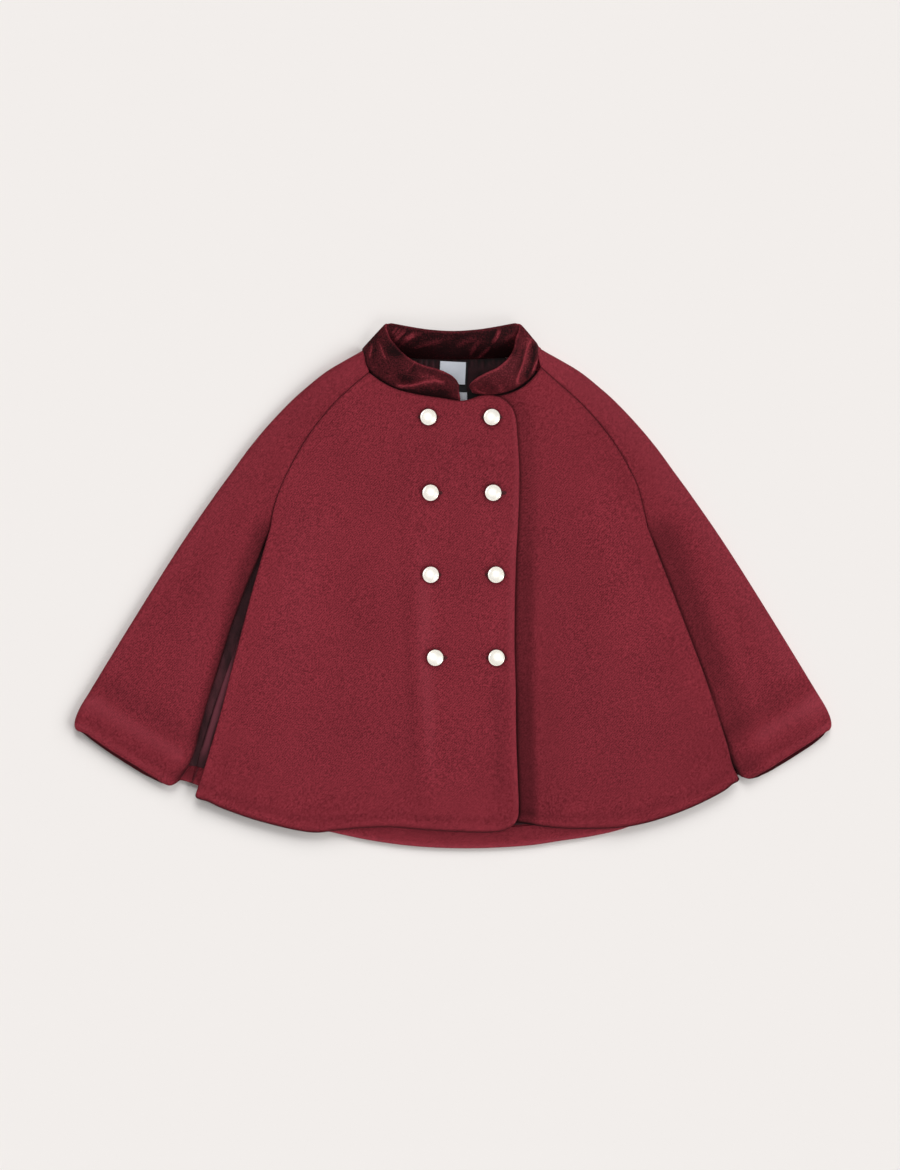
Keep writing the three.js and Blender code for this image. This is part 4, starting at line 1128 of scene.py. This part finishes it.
def stitchTree(material):
    # sets one short stitch across the path at each step along it
    tree = bpy.data.node_groups.new("buttonholeStitches", "GeometryNodeTree")
    face = tree.interface
    face.new_socket("Geometry", in_out="INPUT", socket_type="NodeSocketGeometry")
    ids = {}
    for label in ("Pitch", "Stitch Length", "Stitch Thickness", "Unevenness"):
        made = face.new_socket(label, in_out="INPUT", socket_type="NodeSocketFloat")
        ids[label] = made.identifier
    face.new_socket("Geometry", in_out="OUTPUT", socket_type="NodeSocketGeometry")
    nodes, links = tree.nodes, tree.links
    start, end = nodes.new("NodeGroupInput"), nodes.new("NodeGroupOutput")
    curve = nodes.new("GeometryNodeMeshToCurve")
    stepped = nodes.new("GeometryNodeResampleCurve")
    stepped.mode = "LENGTH"
    tangent = nodes.new("GeometryNodeInputTangent")
    turned = nodes.new("FunctionNodeAlignRotationToVector")
    turned.axis = "X"
    ball = nodes.new("GeometryNodeMeshUVSphere")
    ball.inputs["Segments"].default_value = 6
    ball.inputs["Rings"].default_value = 4
    ball.inputs["Radius"].default_value = 0.5
    size = nodes.new("ShaderNodeCombineXYZ")
    chance = nodes.new("FunctionNodeRandomValue")
    chance.data_type = "FLOAT"
    chance.inputs["Seed"].default_value = 4
    lowest = nodes.new("ShaderNodeMath")
    lowest.operation = "SUBTRACT"
    lowest.inputs[0].default_value = 1.0
    scaled = nodes.new("ShaderNodeVectorMath")
    scaled.operation = "SCALE"
    placed = nodes.new("GeometryNodeInstanceOnPoints")
    real = nodes.new("GeometryNodeRealizeInstances")
    finish = nodes.new("GeometryNodeSetMaterial")
    finish.inputs["Material"].default_value = material
    links.new(start.outputs["Geometry"], curve.inputs["Mesh"])
    links.new(curve.outputs["Curve"], stepped.inputs["Curve"])
    links.new(start.outputs["Pitch"], stepped.inputs["Length"])
    links.new(tangent.outputs["Tangent"], turned.inputs["Vector"])
    links.new(start.outputs["Stitch Thickness"], size.inputs["X"])
    links.new(start.outputs["Stitch Length"], size.inputs["Y"])
    links.new(start.outputs["Stitch Thickness"], size.inputs["Z"])
    links.new(start.outputs["Unevenness"], lowest.inputs[1])
    links.new(lowest.outputs[0], chance.inputs[2])
    chance.inputs[3].default_value = 1.0
    links.new(size.outputs[0], scaled.inputs[0])
    links.new(chance.outputs[1], scaled.inputs["Scale"])
    links.new(stepped.outputs["Curve"], placed.inputs["Points"])
    links.new(ball.outputs["Mesh"], placed.inputs["Instance"])
    links.new(turned.outputs["Rotation"], placed.inputs["Rotation"])
    links.new(scaled.outputs[0], placed.inputs["Scale"])
    links.new(placed.outputs["Instances"], real.inputs["Geometry"])
    links.new(real.outputs["Geometry"], finish.inputs["Geometry"])
    links.new(finish.outputs["Geometry"], end.inputs["Geometry"])
    return tree, ids


paths, edges, lens, lensFaces = [], [], [], []
for row in buttonRows:
    for column in ("inner", "outer"):
        line = holePath(row[column + "Hole"], row["y"])
        first = sum(len(p) for p in paths)
        edges += [(first + k, first + (k + 1) % len(line)) for k in range(len(line))]
        paths.append(line)
        # painted shade of the cut between the stitches: a thin dark lens lying in the cloth
        x, y = row[column + "Hole"], row["y"]
        count, start = 14, len(lens)
        for k in range(count):
            turn = 2 * np.pi * k / count
            px = x + (buttonhole["long"] / 2 - 0.8) * np.cos(turn)
            py = y + buttonhole["slit"] / 2 * np.sin(turn)
            lens.append((px, py, frontHeight(px, py) - 0.1))
        lens += [(x, y, frontHeight(x, y) + 0.22), (x, y, frontHeight(x, y) - 0.3)]
        for k in range(count):
            after = start + (k + 1) % count
            lensFaces += [(start + k, after, start + count), (after, start + k, start + count + 1)]
mesh = bpy.data.meshes.new("holePaths")
mesh.from_pydata((np.vstack(paths) * 0.001).tolist(), edges, [])
guide = bpy.data.objects.new("holePaths", mesh)
bpy.context.scene.collection.objects.link(guide)
tree, ids = stitchTree(thread)
modifier = guide.modifiers.new("stitches", "NODES")
modifier.node_group = tree
modifier[ids["Pitch"]] = buttonhole["pitch"] * 0.001
modifier[ids["Stitch Length"]] = buttonhole["stitchLong"] * 0.001
modifier[ids["Stitch Thickness"]] = buttonhole["stitchThick"] * 0.001
modifier[ids["Unevenness"]] = buttonhole["uneven"]
ready = guide.evaluated_get(bpy.context.evaluated_depsgraph_get())
mesh = bpy.data.meshes.new_from_object(ready)
mesh.name = "buttonholeStitches"
guide.modifiers.clear()
bpy.data.objects.remove(guide)
stitches = bpy.data.objects.new("buttonholeStitches", mesh)
bpy.context.scene.collection.objects.link(stitches)
mesh.shade_smooth()
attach(stitches, "root")
addPiece("buttonholeSlits", lens, lensFaces, slitDark)
print("buttonholes ready,", len(mesh.vertices), "points of thread")

studio = {
    "floor": (0.905, 0.8695, 0.8460, 1),
    "floorReach": 20,  # metres
    "ambient": 0.14,
    "cameraHeight": 4.0,
}
# turn in degrees from +X towards +Y, height above the floor, and how wide the soft source looks
lamps = {
    "floorLow": {"power": 1.35, "turn": -16, "height": 32, "soft": 34, "on": "floor"},
    "floorSide": {"power": 1.05, "turn": 22, "height": 29, "soft": 34, "on": "floor"},
    "floorTop": {"power": 1.9, "turn": 80, "height": 37, "soft": 38, "on": "floor"},
    "floorHigh": {"power": 0.34, "turn": -42, "height": 54, "soft": 30, "on": "floor"},
    "overhead": {"power": 2.0, "turn": 90, "height": 88, "soft": 150, "on": "cape"},
    "key": {"power": 1.0, "turn": -25, "height": 36, "soft": 24, "on": "cape"},
    "top": {"power": 0.30, "turn": 120, "height": 84, "soft": 46, "on": "cape"},
}

mesh = bpy.data.meshes.new("floor")
corners = [(-1, -1), (1, -1), (1, 1), (-1, 1)]
reach = studio["floorReach"]
mesh.from_pydata([(x * reach, y * reach, -0.0002) for x, y in corners], [], [(0, 1, 2, 3)])
floor = bpy.data.objects.new("floor", mesh)
bpy.context.scene.collection.objects.link(floor)
floorMaterial, shader, here = newMaterial("floorPaint", Roughness=0.9, **{"Specular IOR Level": 0.0})
paler = tuple(c * 1.004 for c in studio["floor"][:3]) + (1,)
feed(noise(here, 3, 2, 0.5).mix(studio["floor"], paler), shader, "Base Color")
mesh.materials.append(floorMaterial)
floor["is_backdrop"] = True

world = bpy.data.worlds.new("studio")
bpy.context.scene.world = world
world.use_nodes = True
world.node_tree.nodes["Background"].inputs[0].default_value = (1, 1, 1, 1)
world.node_tree.nodes["Background"].inputs[1].default_value = studio["ambient"]

# the floor and the cape are lit apart, as a backdrop is in a studio
lit = {}
for side in ("floor", "cape"):
    lit[side] = bpy.data.collections.new(side + "Lit")
    lit[side].objects.link(floor)
lit["cape"].collection_objects[0].light_linking.link_state = "EXCLUDE"
# the standing collar throws its shadow past the neck from the high lamp, and not from the low one
shading = {}
for name, state in (("floorHigh", "INCLUDE"), ("floorLow", "EXCLUDE")):
    shading[name] = bpy.data.collections.new(name + "Shading")
    shading[name].objects.link(collarPiece)
    shading[name].collection_objects[0].light_linking.link_state = state
for name, lamp in lamps.items():
    data = bpy.data.lights.new(name, "SUN")
    data.energy = lamp["power"]
    data.angle = math.radians(lamp["soft"])
    light = bpy.data.objects.new(name, data)
    light.rotation_euler = (math.radians(90 - lamp["height"]), 0, math.radians(lamp["turn"] + 90))
    bpy.context.scene.collection.objects.link(light)
    light.light_linking.receiver_collection = lit[lamp["on"]]
    if name in shading:
        light.light_linking.blocker_collection = shading[name]

cameraData = bpy.data.cameras.new("camera")
camera = bpy.data.objects.new("camera", cameraData)
camera.location = (-0.003, 0.001, studio["cameraHeight"])
cameraData.sensor_width = 36
cameraData.lens = 36 * (studio["cameraHeight"] - 0.008) / 1.17
bpy.context.scene.collection.objects.link(camera)
bpy.context.scene.camera = camera
bpy.context.scene.view_settings.view_transform = "Standard"
print("studio ready")
low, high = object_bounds()
